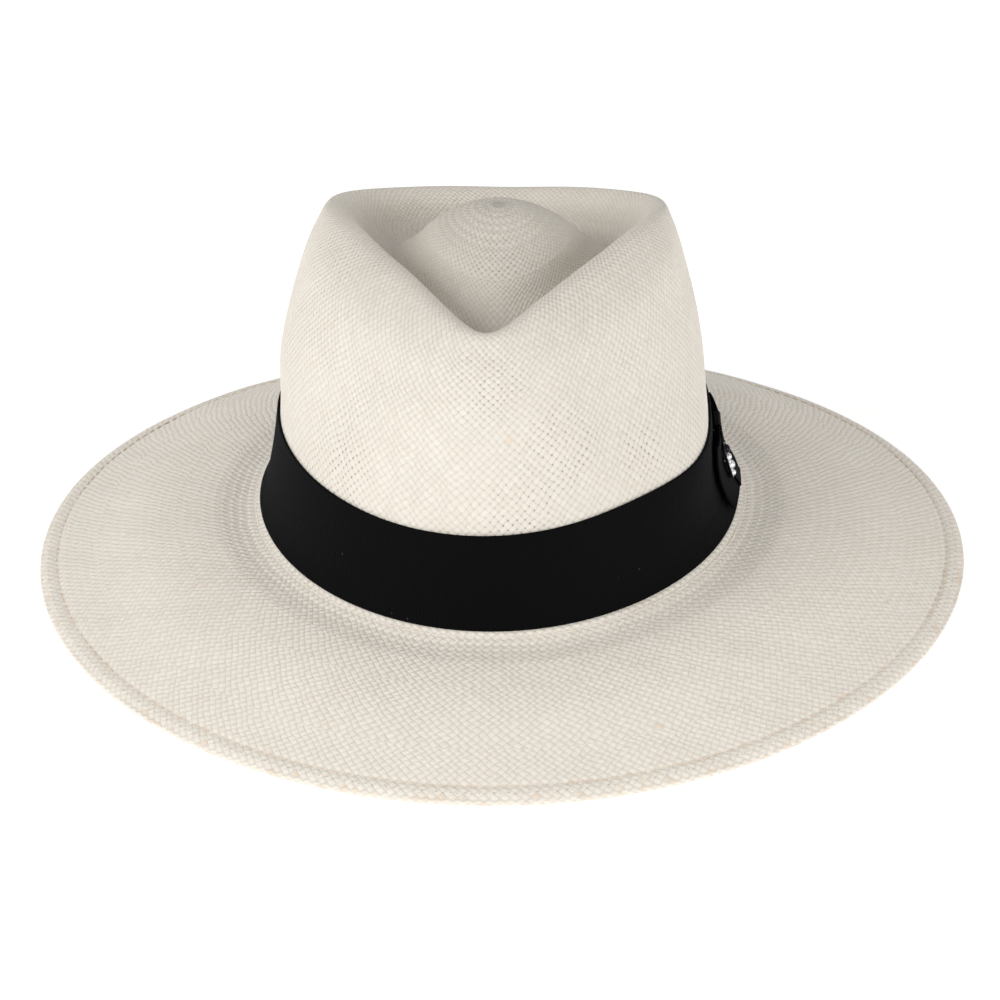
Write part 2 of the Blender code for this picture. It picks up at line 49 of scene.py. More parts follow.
# Each ring is one closed curve on the outside of the straw, from the brim edge to the crown's centre:
# half width, length to the front, length to the back, taper to the front, the heights at the
# sides, at the front and at the back, and how far its middle lies behind the brim's middle and to
# the +X side of it.
RINGS = {
    "brim_edge": (169.4, 182.4, 182.4, 0.052, 2.0, 2.0, 2.0, 0.0, 0.0),
    "brim_outer": (152.0, 166.0, 166.0, 0.050, 8.2, 8.2, 8.2, 0.0, 0.0),
    "brim_middle": (128.0, 144.0, 144.0, 0.045, 16.5, 16.0, 16.5, 0.0, 0.0),
    "brim_inner": (105.2, 124.5, 124.0, 0.035, 21.6, 20.3, 21.6, 0.0, 0.0),
    "brim_break": (91.6, 112.6, 110.5, 0.030, 23.5, 22.2, 23.5, 0.0, 0.0),
    "wall_foot": (87.1, 109.2, 106.8, 0.028, 25.7, 24.4, 25.7, 0.0, -0.4),
    "wall_base": (84.1, 108.0, 105.9, 0.029, 29.8, 28.6, 29.8, 0.0, -1.0),
    "wall_low": (80.6, 106.8, 104.5, 0.030, 39.0, 38.0, 39.0, 0.0, -2.2),
    "band_top": (77.1, 104.0, 100.0, 0.040, 60.0, 57.4, 59.6, 0.0, -2.5),
    "wall_middle": (75.4, 97.0, 96.0, 0.060, 84.0, 81.0, 83.5, 0.0, -2.85),
    "wall_upper": (69.8, 88.5, 89.0, 0.130, 107.0, 101.0, 104.0, 0.0, -2.7),
    "shoulder": (62.3, 80.0, 78.5, 0.280, 123.5, 113.0, 113.5, 0.0, -2.2),
    "rim": (53.5, 73.5, 69.5, 0.560, 129.5, 119.0, 117.5, 0.0, -1.8),
    "lip": (47.4, 67.5, 63.5, 0.630, 128.0, 116.5, 115.0, 0.0, -1.3),
    "inner_wall": (43.2, 61.5, 58.0, 0.600, 119.0, 107.5, 108.0, 0.5, -0.7),
    "moat": (38.5, 52.5, 51.0, 0.480, 112.5, 104.5, 105.5, 1.5, 0.0),
    "dome_foot": (33.0, 41.5, 39.5, 0.300, 116.5, 111.5, 112.0, 3.5, 0.0),
    "dome_side": (22.0, 27.5, 23.5, 0.100, 128.0, 124.0, 126.0, 6.0, 0.0),
    "dome_top": (9.5, 11.0, 10.0, 0.000, 133.5, 132.8, 133.2, 7.5, 0.0),
    "centre": (0.0, 0.0, 0.0, 0.000, 134.5, 134.5, 134.5, 8.0, 0.0),
}
RING_SAMPLES = 2881
PROFILE_STEP = 0.25        # between the stations at which the table is sampled
PROFILE_BLUR = 1.4         # rounding of the table's bends along the surface
HEIGHT_COLUMNS = (4, 5, 6)

# The pinches beside the front crease, and the fuller corner at the front on the +X side: how deep or
# full, the angle from the front, the width in angle, and the height over which each one fades.
DENT_DEPTH = 3.0
DENT_ANGLE = 0.74
DENT_WIDTH = 0.26
DENT_HEIGHT = 20.0
CORNER_FULLNESS = 5.0
CORNER_ANGLE = 1.12
CORNER_WIDTH = 0.31
CORNER_HEIGHT = 20.6

STRAW = 1.2
HEM = 2.4
HEM_WIDTH = 7.0
EDGE_BULGE = 0.6
EDGE_MIDDLE_Z = 1.1
REST_RING = 2.6
GAP = 0.3

BAND_BOTTOM = 0.3
BAND_TOP = 0.9
BAND = 0.8
BAND_OUTSIDE = GAP + BAND
RIBBON = 0.4
BOW_AT = 0.2557
BOW_HALF_HEIGHT = 13.2
BOW_RISE = -2.2
WRAP_HALF_WIDTH = 6.0
TAIL_START = -6.6
TAIL_END = 34.0
TAIL_NOTCH = 6.0
PIN_ARC = -10.3
PIN_HEIGHT = -1.8

SWEATBAND_RISE = 2.6
LEATHER = 1.0
SWEATBAND_OUTSIDE = -(STRAW + GAP)
SWEATBAND_INSIDE = SWEATBAND_OUTSIDE - LEATHER


# ---------------------------------------------------------------- the straw's outer surface

RING_TABLE = np.array(list(RINGS.values()))


def ring_stations():
    """Mean distance of each ring from the brim edge, along the surface."""
    width, front, back, _, side_z, front_z, back_z, _, _ = RING_TABLE.T
    steps = [np.hypot(np.diff(reach), np.diff(height))
             for reach, height in ((width, side_z), (front, front_z), (back, back_z))]
    return np.concatenate([[0.0], np.cumsum(np.mean(steps, axis=0))])


STATIONS = ring_stations()
STATION = dict(zip(RINGS, STATIONS))


def ring_slopes():
    """Slope of every ring value along the surface, from the parabola through three rings."""
    gaps = np.diff(STATIONS)[:, None]
    steps = np.diff(RING_TABLE, axis=0) / gaps
    inner = (steps[1:] * gaps[:-1] + steps[:-1] * gaps[1:]) / (gaps[1:] + gaps[:-1])
    return np.concatenate([steps[:1], inner, steps[-1:]])


RING_SLOPES = ring_slopes()


def table_values(station):
    """The ring's values at any station, by a cubic through the table."""
    index = int(np.clip(np.searchsorted(STATIONS, station, side="right") - 1, 0, len(STATIONS) - 2))
    gap = STATIONS[index + 1] - STATIONS[index]
    t = (station - STATIONS[index]) / gap
    start, end = RING_TABLE[index], RING_TABLE[index + 1]
    rise, fall = RING_SLOPES[index] * gap, RING_SLOPES[index + 1] * gap
    return ((2 * t**3 - 3 * t**2 + 1) * start + (t**3 - 2 * t**2 + t) * rise
            + (3 * t**2 - 2 * t**3) * end + (t**3 - t**2) * fall)


def blurred_profile():
    """The table sampled along the surface with its bends rounded, and the stations of the samples."""
    count = int(STATIONS[-1] / PROFILE_STEP) + 1
    at = np.linspace(0.0, STATIONS[-1], count)
    values = np.array([table_values(station) for station in at])
    reach = int(4.0 * PROFILE_BLUR / PROFILE_STEP)
    before = 2.0 * values[0] - values[reach:0:-1]
    after = 2.0 * values[-1] - values[-2:-reach - 2:-1]
    for column in HEIGHT_COLUMNS:
        after[:, column] = values[-2:-reach - 2:-1, column]
    padded = np.concatenate([before, values, after])
    offsets = np.arange(-reach, reach + 1) * PROFILE_STEP / PROFILE_BLUR
    weights = np.exp(-0.5 * offsets**2)
    weights /= weights.sum()
    smooth_columns = [np.convolve(column, weights, mode="valid") for column in padded.T]
    return at, np.stack(smooth_columns, axis=-1)


PROFILE_AT, PROFILE = blurred_profile()


def smooth(value):
    value = np.clip(value, 0.0, 1.0)
    return value * value * (3.0 - 2.0 * value)


def ring_curve(station):
    """Points around one ring, from the front through +X to the back and round again."""
    values = [np.interp(station, PROFILE_AT, column) for column in PROFILE.T]
    width, front, back, taper, side_z, front_z, back_z, middle, aside = values
    angle = np.linspace(0.0, 2.0 * math.pi, RING_SAMPLES)
    sine, cosine = np.sin(angle), np.cos(angle)
    ahead, behind = np.maximum(cosine, 0.0), np.maximum(-cosine, 0.0)
    x = aside + width * sine * (1.0 - taper * cosine)
    y = middle + back * behind - front * ahead
    z = side_z + (front_z - side_z) * ahead**2 + (back_z - side_z) * behind**2
    beside = (np.abs(angle - math.pi) - (math.pi - DENT_ANGLE)) / DENT_WIDTH
    above = (station - 0.5 * (STATION["wall_middle"] + STATION["wall_upper"])) / DENT_HEIGHT
    dent = DENT_DEPTH * np.exp(-beside**2 - above**2)
    beside = (angle - CORNER_ANGLE) / CORNER_WIDTH
    above = (station - STATION["band_top"]) / CORNER_HEIGHT
    out = CORNER_FULLNESS * np.exp(-beside**2 - above**2) - dent
    return np.stack([x + out * sine, y - out * cosine, z], axis=-1)


def lengths_along(curve):
    return np.concatenate([[0.0], np.cumsum(np.linalg.norm(np.diff(curve, axis=0), axis=1))])


def on_curve(fractions, curve):
    """Points at equal shares of a closed curve's length."""
    lengths = lengths_along(curve)
    share = np.mod(fractions, 1.0) * lengths[-1]
    return np.stack([np.interp(share, lengths, curve[:, axis]) for axis in range(3)], axis=-1)


def unit(vectors):
    return vectors / np.linalg.norm(vectors, axis=-1, keepdims=True)


def frames(fractions, station):
    """Surface points with their outward normals and the direction towards the crown's centre."""
    station = float(np.clip(station, 0.0, STATIONS[-1] - 0.5))
    curve = ring_curve(station)
    around = on_curve(fractions + 0.002, curve) - on_curve(fractions - 0.002, curve)
    low, high = ring_curve(max(station - 0.4, 0.0)), ring_curve(min(station + 0.4, STATIONS[-1]))
    inward = unit(on_curve(fractions, high) - on_curve(fractions, low))
    return on_curve(fractions, curve), unit(np.cross(around, inward)), inward


def lifted(fractions, station, lift):
    """Points at a distance outside the straw's outer surface, or inside it where lift is negative."""
    point, normal, _ = frames(fractions, station)
    return point + normal * np.reshape(lift, (-1, 1))


def ring_length(station):
    return float(lengths_along(ring_curve(station))[-1])


BAND_LOW = STATION["wall_foot"] + BAND_BOTTOM
BAND_HIGH = STATION["band_top"] + BAND_TOP
BAND_MIDDLE = 0.5 * (BAND_LOW + BAND_HIGH)
BAND_LENGTH = ring_length(BAND_MIDDLE)


# ---------------------------------------------------------------- random but repeatable unevenness

WAVES = 7


def wobble(points, wavelength, seed):
    """A smooth value, mostly between -1 and 1, at each point, that varies over about a wavelength."""
    random = np.random.default_rng(seed)
    directions = unit(random.normal(size=(WAVES, 3)))
    phases = random.uniform(0.0, 2.0 * math.pi, WAVES)
    rates = 2.0 * math.pi / (wavelength * random.uniform(0.7, 1.5, WAVES))
    return np.sin(points @ (directions * rates[:, None]).T + phases).sum(axis=-1) / math.sqrt(WAVES)


# ---------------------------------------------------------------- meshes

class Builder:
    """Collects rows of points and the triangles between them, with two coordinates at each corner.

    The first coordinate, "weave", counts strands; the second, "place", is in millimetres.
    """

    def __init__(self):
        self.points = []
        self.count = 0
        self.triangles = []
        self.weave = []
        self.place = []
        self.turned = False

    def add(self, points):
        """Stores a row and returns the numbers of its points."""
        points = np.asarray(points, float).reshape(-1, 3)
        self.points.append(points)
        self.count += len(points)
        return np.arange(self.count - len(points), self.count)

    def faces(self, corners, weave, place):
        """corners is (count, 3) of point numbers; weave and place are (count, 3, 2)."""
        order = slice(None, None, -1 if self.turned else 1)
        self.triangles.append(np.asarray(corners)[:, order])
        self.weave.append(np.asarray(weave)[:, order])
        self.place.append(np.asarray(place)[:, order])

    def quads(self, corners, weave, place):
        """corners is (count, 4) of point numbers in order round each quad."""
        for order in ((0, 1, 2), (0, 2, 3)):
            self.faces(corners[:, order], weave[:, order], place[:, order])

    def make(self, name, made_material, flip=False):
        points = np.concatenate(self.points) * MM
        triangles = np.concatenate(self.triangles)
        layers = {"weave": np.concatenate(self.weave), "place": np.concatenate(self.place)}
        if flip:
            triangles = triangles[:, ::-1]
            layers = {key: value[:, ::-1] for key, value in layers.items()}
        mesh = bpy.data.meshes.new(name)
        mesh.from_pydata(points.tolist(), [], triangles.tolist())
        for key, value in layers.items():
            layer = mesh.uv_layers.new(name=key)
            layer.data.foreach_set("uv", np.ascontiguousarray(value, np.float32).ravel())
        mesh.materials.append(made_material)
        mesh.shade_smooth()
        mesh.update()
        made = bpy.data.objects.new(name, mesh)
        bpy.context.scene.collection.objects.link(made)
        return made


def signed_volume(points, triangles):
    first, second, third = (points[triangles[:, corner]] for corner in range(3))
    return float(np.einsum("ij,ij->i", first, np.cross(second, third)).sum() / 6.0)


def finish_piece(builder, name, made_material):
    """Makes the mesh with its faces pointing out, whichever way its rows were given."""
    inside_out = signed_volume(np.concatenate(builder.points), np.concatenate(builder.triangles)) < 0.0
    return builder.make(name, made_material, flip=inside_out)


def quad_corners(first, second, closed):
    if closed:
        first, second = np.append(first, first[0]), np.append(second, second[0])
    return np.stack([first[:-1], first[1:], second[1:], second[:-1]], axis=-1)


def cell_corners(along, low, high):
    """Coordinates at the corners of every cell between two rows, low being the first row's level."""
    corners = ((along[:-1], low), (along[1:], low), (along[1:], high), (along[:-1], high))
    return np.stack([np.column_stack([value, np.full(len(value), float(level))])
                     for value, level in corners], axis=1)


def coarse_strip(builder, first, second, weave, place):
    """Two triangles between each pair of points of two rows right round the hat."""
    builder.quads(quad_corners(first, second, True), weave, place)


def fine_strip(builder, first, second, middle, weave, place):
    """Four triangles round the middle of each cell between two rows."""
    corners = quad_corners(first, second, True)
    centre_weave, centre_place = weave.mean(axis=1), place.mean(axis=1)
    for start, end in ((0, 1), (1, 2), (2, 3), (3, 0)):
        triangle = np.stack([corners[:, start], corners[:, end], middle], axis=-1)
        builder.faces(triangle,
                      np.stack([weave[:, start], weave[:, end], centre_weave], axis=1),
                      np.stack([place[:, start], place[:, end], centre_place], axis=1))


def zip_rows(first, second):
    """Triangles between two closed rows with different numbers of points, and their corners' places.

    A place is a share of the way round and a side, 0 or 1.
    """
    triangles, shares = [], []
    one, two = 0, 0
    while one < len(first) or two < len(second):
        here, there = one / len(first), two / len(second)
        next_here, next_there = (one + 1) / len(first), (two + 1) / len(second)
        if two >= len(second) or (one < len(first) and next_here <= next_there):
            triangles.append((first[one], first[(one + 1) % len(first)], second[two % len(second)]))
            shares.append(((here, 0), (next_here, 0), (there, 1)))
            one += 1
        else:
            triangles.append((first[one % len(first)], second[(two + 1) % len(second)], second[two]))
            shares.append(((here, 0), (next_there, 1), (there, 1)))
            two += 1
    return np.array(triangles), np.array(shares)


def spread(shares, width, low, high):
    """Coordinates over a width and between two levels, from shares of both."""
    return np.stack([shares[..., 0] * width, low + shares[..., 1] * (high - low)], axis=-1)


# ---------------------------------------------------------------- the woven straw

# Stations where the weave starts, and the number of lattice columns from there on. More strands are
# worked in at each of these rounds, so the weave keeps its scale as the hat gets wider.
SPLIT = BAND_MIDDLE                       # the brim and the crown part under the band
BRIM_ROUNDS = ((SPLIT, 376), (STATION["wall_foot"] - 2.0, 428), (STATION["brim_inner"] + 1.5, 484),
               (STATION["brim_middle"] + 8.0, 560), (STATION["brim_outer"] + 3.5, 648))
CROWN_ROUNDS = ((SPLIT, 360), (STATION["inner_wall"], 280), (STATION["dome_foot"] - 5.0, 200),
                (STATION["dome_side"] - 7.0, 140), (STATION["dome_side"] + 5.0, 96),
                (STATION["dome_top"] - 5.0, 60), (STATION["dome_top"] + 1.5, 36))
BRIM_RELIEF = 0.6                         # the brim is ironed flatter than the crown
CROWN_RELIEF = 1.0
PIT = 0.15                                # depth of the holes, at every second lattice point
SIDE_DIP = 0.05                           # depth half way along a strand's side
ROUND_RIDGE = 0.14                        # ridge where strands are worked in
ROUND_RIDGE_WIDTH = 1.3
RIPPLE_PITCH = 3.3                        # the woven rounds beside the band and on the dome
RIPPLE_START = 1.2                        # from the wall's foot to the first round's crest
BRIM_RIPPLE = 0.20
BRIM_RIPPLE_REACH = 13.0
DOME_RIPPLE = 0.15
FRONT_OF_ROW = 0.5                        # rows start and end at the back
HAND_WAVE = 0.16                          # unevenness of a handmade surface
WEAVE_DRIFT = 0.22
POLE_ROW = STATIONS[-1] - 1.5             # station of the last row before the crown's centre
HEM_START = 7.6
INNER_STEP = 2                            # the inner side has every second lattice point
# The outer side of the turned edge, as (station, lift): the groove, then the roll.
HEM_PROFILE = ((7.3, -0.05), (6.9, -0.14), (6.5, -0.22), (6.1, -0.24), (5.7, -0.16), (5.2, 0.02), (4.5, 0.24),
               (3.6, 0.38), (2.7, 0.40), (1.8, 0.32), (0.9, 0.14), (0.3, -0.02))
# The rounded edge below it, as (distance out, height above the ground).
EDGE_PROFILE = ((0.30, 1.80), (0.54, 1.45), (EDGE_BULGE, EDGE_MIDDLE_Z), (0.54, 0.65), (0.36, 0.25),
                (0.1, 0.0), (0.1 - REST_RING, 0.0))
HEM_CELL = 1.6
HEM_DIP = 0.07


def row_stations(start, end, columns, step):
    """Stations of the rows between two rounds, with cells as high as they are wide."""
    probe = np.linspace(start, end, 60)
    width = np.array([ring_length(station) for station in probe]) / columns
    cells = np.concatenate([[0.0], np.cumsum(np.abs(np.diff(probe)) * 2.0 / (width[1:] + width[:-1]))])
    count = max(1, int(round(cells[-1] / step)))
    return np.interp(np.linspace(0.0, cells[-1], count + 1), cells, probe)


class Weave:
    """One side of the straw, row by row, with the weave's relief."""

    def __init__(self, builder, rounds, end, base_lift, step, relief, seed):
        self.builder = builder
        self.rounds = rounds
        self.end = end
        self.base_lift = base_lift
        self.step = step
        self.relief = relief
        self.seed = seed
        self.ridges = np.array([station for station, _ in rounds[1:]])

    def lift(self, station):
        """Height of the surface before the strands' relief."""
        ridge = np.exp(-((station - self.ridges) / ROUND_RIDGE_WIDTH)**2).sum()
        return self.base_lift(station) + self.relief * ROUND_RIDGE * ridge

    def points(self, columns, station, row, middle=False):
        """A row of lattice points, or of the middles of cells, drifting a little from their places."""
        places = np.arange(0, columns, self.step) + (0.5 if middle else 0.0)
        dip = SIDE_DIP if middle else np.where((places + row) % 2 < 0.5, PIT, 0.0)
        fractions = FRONT_OF_ROW + places / columns
        point, normal, inward = frames(fractions, station)
        cell = ring_length(station) / columns
        side = unit(np.cross(inward, normal))
        drift = WEAVE_DRIFT * cell * fade_near_rounds(station, self)
        point = point + side * (drift * wobble(point, 11.0, 3))[:, None]
        point = point + inward * (drift * wobble(point, 13.0, 4))[:, None]
        wave = HAND_WAVE * wobble(point, 34.0, self.seed)
        height = self.lift(station) + wave - self.relief * dip * cell / 1.5
        return point + normal * height[:, None]

    def build(self):
        """Adds every row and returns the first and the last."""
        row_number, previous, first = 0, None, None
        for index, (start, columns) in enumerate(self.rounds):
            last = index + 1 == len(self.rounds)
            end = self.end if last else self.rounds[index + 1][0]
            stations = row_stations(start, end, columns, self.step)
            for station in stations if last else stations[:-1]:
                current = self.builder.add(self.points(columns, station, row_number))
                if previous is None:
                    first = current
                else:
                    self.join(previous, (current, columns, station, row_number))
                previous = (current, columns, station, row_number)
                row_number += self.step
        return first, previous

    def join(self, lower, upper):
        """Faces between one row and the next."""
        first, columns, station, row = lower
        second, new_columns, new_station, new_row = upper
        length, new_length = ring_length(station), ring_length(new_station)
        added = columns != new_columns
        if added:
            triangles, shares = zip_rows(first, second)
        else:
            shares = cell_corners(np.arange(0, columns + 1, self.step) / columns, 0, 1)
        weave = spread(shares, columns, row, new_row)
        place = spread(shares, length + (new_length - length) * shares[..., 1], station, new_station)
        if added:
            self.builder.faces(triangles, weave, place)
        elif self.step > 1:
            coarse_strip(self.builder, first, second, weave, place)
        else:
            middle = self.points(columns, 0.5 * (station + new_station), row, middle=True)
            fine_strip(self.builder, first, second, self.builder.add(middle), weave, place)


def fade_near_rounds(station, weave):
    """The drift dies out where two numbers of columns meet, so that their rows stay apart."""
    edges = np.append(weave.ridges, [weave.rounds[0][0], weave.end])
    return float(smooth(np.abs(station - edges).min() / 4.0))


def brim_lift(station):
    """The rounds of weaving beside the band, which die out over the brim."""
    out = STATION["wall_foot"] - station
    fade = math.exp(-(max(out, 0.0) / BRIM_RIPPLE_REACH)**2) * float(smooth((out + 2.0) / 2.0))
    return BRIM_RIPPLE * fade * math.cos(2.0 * math.pi * (out - RIPPLE_START) / RIPPLE_PITCH)


def dome_lift(station):
    """The rounds of the rosette at the crown's centre."""
    inside = float(smooth((station - STATION["dome_foot"] - 8.0) / 12.0))
    return DOME_RIPPLE * inside * math.cos(2.0 * math.pi * (station - STATIONS[-1]) / RIPPLE_PITCH)


def strip(builder, first, second, columns, rows, stations):
    """Plain faces between two rows of the same number of columns."""
    shares = cell_corners(np.linspace(0.0, 1.0, columns + 1), 0, 1)
    length = ring_length(max(min(stations), 0.0))
    coarse_strip(builder, first, second, spread(shares, columns, *rows), spread(shares, length, *stations))


def hem_outline(columns):
    """Rows of the turned edge from the groove round to the ring that the hat rests on."""
    fractions = FRONT_OF_ROW + np.arange(columns) / columns
    rows = []
    for index, (station, lift) in enumerate(HEM_PROFILE):
        dip = np.where((np.arange(columns) + index) % 2 == 0, HEM_DIP, 0.0)
        point, normal, _ = frames(fractions, station)
        wave = HAND_WAVE * wobble(point, 34.0, 1)
        rows.append((station, point + normal * (lift + wave - dip)[:, None]))
    edge, _, inward = frames(fractions, 0.0)
    level = edge * np.array([1.0, 1.0, 0.0])
    outward = unit(-inward * np.array([1.0, 1.0, 0.0]))
    for number, (out, height) in enumerate(EDGE_PROFILE):
        rows.append((-0.6 * (number + 1), level + outward * out + np.array([0.0, 0.0, height])))
    return rows


def make_brim(straw):
    """The straw from under the band out to the turned edge and back below."""
    builder = Builder()
    outer = Weave(builder, BRIM_ROUNDS, HEM_START, brim_lift, 1, BRIM_RELIEF, 1)
    outer_first, (current, columns, station, row) = outer.build()
    for next_station, points in hem_outline(columns):
        following = builder.add(points)
        next_row = row + (station - next_station) / HEM_CELL
        strip(builder, current, following, columns, (row, next_row), (station, next_station))
        current, station, row = following, next_station, next_row
    fractions = FRONT_OF_ROW + np.arange(columns) / columns
    following = builder.add(lifted(fractions, HEM_WIDTH, -HEM))
    strip(builder, current, following, columns, (row, row + 3.0), (station, HEM_WIDTH))
    builder.turned = True
    inner = Weave(builder, BRIM_ROUNDS, HEM_WIDTH + 1.2, lambda station: -STRAW, INNER_STEP, 0.0, 1)
    inner_first, (inner_last, _, inner_station, _) = inner.build()
    builder.turned = False
    close_rows(builder, following, inner_last, HEM_WIDTH, inner_station)
    close_rows(builder, inner_first, outer_first, SPLIT, SPLIT)
    return finish_piece(builder, "straw_brim", straw)


def close_rows(builder, first, second, station, other_station):
    """A strip that joins two closed rows, whatever their numbers of points."""
    triangles, shares = zip_rows(first, second)
    builder.faces(triangles, spread(shares, len(first), 0.0, 1.0),
                  spread(shares, ring_length(station), station, other_station))


def close_pole(builder, row, height, row_number):
    """A fan of triangles from the last row to the crown's centre."""
    pole = builder.add([(0.0, RINGS["centre"][7], height)])[0]
    following = np.roll(row, -1)
    count = len(row)
    corners = np.stack([row, following, np.full(count, pole)], axis=-1)
    index = np.arange(count, dtype=float)
    weave = np.stack([np.stack([index, np.full(count, float(row_number))], axis=-1),
                      np.stack([index + 1, np.full(count, float(row_number))], axis=-1),
                      np.stack([index + 0.5, np.full(count, row_number + 1.0)], axis=-1)], axis=1)
    place = weave * np.array([0.1, 0.0]) + np.array([0.0, STATIONS[-1]])
    builder.faces(corners, weave, place)


def make_crown(straw):
    """The straw from under the band up over the rim and the dome."""
    builder = Builder()
    outer = Weave(builder, CROWN_ROUNDS, POLE_ROW, dome_lift, 1, CROWN_RELIEF, 1)
    outer_first, (outer_last, _, _, row) = outer.build()
    peak = RINGS["centre"][4]
    close_pole(builder, outer_last, peak, row)
    builder.turned = True
    inner = Weave(builder, CROWN_ROUNDS, POLE_ROW, lambda station: -STRAW, INNER_STEP, 0.0, 1)
    inner_first, (inner_last, _, _, row) = inner.build()
    close_pole(builder, inner_last, peak - STRAW, row)
    builder.turned = False
    close_rows(builder, inner_first, outer_first, SPLIT, SPLIT)
    return finish_piece(builder, "straw_crown", straw)


# ---------------------------------------------------------------- materials

class Value:
    """Something that a material's nodes work out, with plain arithmetic on it."""

    def __init__(self, nodes, socket):
        self.nodes = nodes
        self.socket = socket

    def __add__(self, other):
        return self.nodes.math("ADD", self, other)

    def __sub__(self, other):
        return self.nodes.math("SUBTRACT", self, other)

    def __rsub__(self, other):
        return self.nodes.math("SUBTRACT", other, self)

    def __mul__(self, other):
        return self.nodes.math("MULTIPLY", self, other)

    def __pow__(self, other):
        return self.nodes.math("POWER", self, other)

    def __abs__(self):
        return self.nodes.math("ABSOLUTE", self)


class Nodes:
    """Short names for building one material out of nodes."""

    def __init__(self, name, roughness, metallic=0.0, specular=0.5):
        self.material = bpy.data.materials.new(name)
        self.material.use_nodes = True
        self.tree = self.material.node_tree
        self.shader = self.tree.nodes["Principled BSDF"]
        self.shader.inputs["Roughness"].default_value = roughness
        self.shader.inputs["Metallic"].default_value = metallic
        self.shader.inputs["Specular IOR Level"].default_value = specular

    def give(self, value, socket):
        if isinstance(value, Value):
            self.tree.links.new(value.socket, socket)
        else:
            socket.default_value = value

    def add(self, kind, output, inputs, **settings):
        """Adds a node with its inputs, by name or number, and returns one of its outputs."""
        node = self.tree.nodes.new(kind)
        for key, value in settings.items():
            setattr(node, key, value)
        for key, value in inputs.items():
            self.give(value, node.inputs[key])
        return Value(self, node.outputs[output])

    def math(self, operation, *values):
        return self.add("ShaderNodeMath", 0, dict(enumerate(values)), operation=operation)

    def most(self, first, second):
        return self.math("MAXIMUM", first, second)

    def zigzag(self, value, turn):
        return self.math("PINGPONG", value, turn)

    def blend(self, share, first, second):
        """first where share is 0 and second where it is 1, for numbers."""
        return share * (second - first) + first

    def mix(self, share, first, second):
        """The same for colours."""
        return self.add("ShaderNodeMix", 2, {0: share, 6: first, 7: second}, data_type="RGBA")

    def tint(self, colour, brightness):
        inputs = {0: 1.0, 6: colour, 7: self.vector(brightness, brightness, brightness)}
        return self.add("ShaderNodeMix", 2, inputs, data_type="RGBA", blend_type="MULTIPLY")

    def vector(self, x, y=0.0, z=0.0):
        return self.add("ShaderNodeCombineXYZ", 0, {0: x, 1: y, 2: z})

    def coordinates(self, layer):
        both = self.add("ShaderNodeUVMap", 0, {}, uv_map=layer)
        return [self.add("ShaderNodeSeparateXYZ", axis, {0: both}) for axis in (0, 1)]

    def position(self):
        return self.add("ShaderNodeTexCoord", "Object", {})

    def noise(self, vector, scale, detail):
        return self.add("ShaderNodeTexNoise", "Fac", {"Vector": vector, "Scale": scale, "Detail": detail})

    def solid_noise(self, scale, detail):
        """Noise in the object's own space, with its scale in features per metre."""
        return self.noise(self.position(), scale, detail)

    def near(self, centre, reach):
        """1 about a point of the hat and 0 beyond a distance from it, both in millimetres."""
        inputs = {0: self.position(), 1: [value * MM for value in centre]}
        away = self.add("ShaderNodeVectorMath", "Value", inputs, operation="DISTANCE")
        return self.ramp(away, 0.3 * reach * MM, reach * MM, 1.0, 0.0)

    def random(self, x, y=0.0, z=0.0):
        inputs = {"Vector": self.vector(x, y, z)}
        return self.add("ShaderNodeTexWhiteNoise", "Value", inputs, noise_dimensions="3D")

    def ramp(self, value, low, high, start=0.0, end=1.0):
        inputs = dict(enumerate((value, low, high, start, end)))
        return self.add("ShaderNodeMapRange", 0, inputs, interpolation_type="SMOOTHSTEP")

    def bump(self, height, distance_mm, strength):
        inputs = {"Strength": strength, "Distance": distance_mm * MM, "Height": height}
        return self.add("ShaderNodeBump", 0, inputs)

    def finish(self, colour, normal, roughness=None):
        self.give(colour, self.shader.inputs["Base Color"])
        self.give(normal, self.shader.inputs["Normal"])
        if roughness is not None:
            self.give(roughness, self.shader.inputs["Roughness"])
        return self.material


STRAW_COLOUR = (0.87, 0.81, 0.72, 1.0)
STRAW_WARM = (0.80, 0.70, 0.56, 1.0)
STRAW_PALE = (0.90, 0.85, 0.78, 1.0)
# painted shade in the gaps of the weave, the hollows round them and the needle holes
HOLE_SHADE_COLOUR = (0.27, 0.19, 0.12, 1.0)
SPECK_COLOUR = (0.76, 0.56, 0.38, 1.0)
# Where the weave is looser: the centre on the hat and the radius, in millimetres.
LOOSE_PATCHES = (((0.0, -82.0, 104.0), 20.0), ((28.0, -88.0, 86.0), 22.0), ((12.0, -103.0, 58.0), 18.0),
                 ((-48.0, -74.0, 70.0), 20.0), ((52.0, -68.0, 74.0), 16.0), ((0.0, -18.0, 120.0), 22.0))
ROUND_PAINTED_SHADE = 0.08                        # painted shade between the rounds beside the band and on the dome
CROWN_PAINTED_SHADE = 0.90                        # painted shade: the crown's straws are painted a little darker than the brim's
TOP_PAINTED_SHADE = 0.80                          # and the dome's darker again, also painted shade
FOOT = float(STATION["wall_foot"])


def round_valley_shade(n, station):
    """Painted shade between the woven rounds beside the band and on the dome, in step with brim_lift."""
    wave = n.math("COSINE", (FOOT - RIPPLE_START - station) * (2.0 * math.pi / RIPPLE_PITCH))
    inside = n.ramp(station, FOOT, FOOT + 2.0, 1.0, 0.0)
    brim = inside * n.ramp(station, FOOT - 1.8 * BRIM_RIPPLE_REACH, FOOT - 2.0)
    dome = n.ramp(station, STATIONS[-1] - 34.0, STATIONS[-1] - 12.0, 0.0, 0.8)
    return (wave * -0.5 + 0.5) * ROUND_PAINTED_SHADE * n.most(brim, dome)


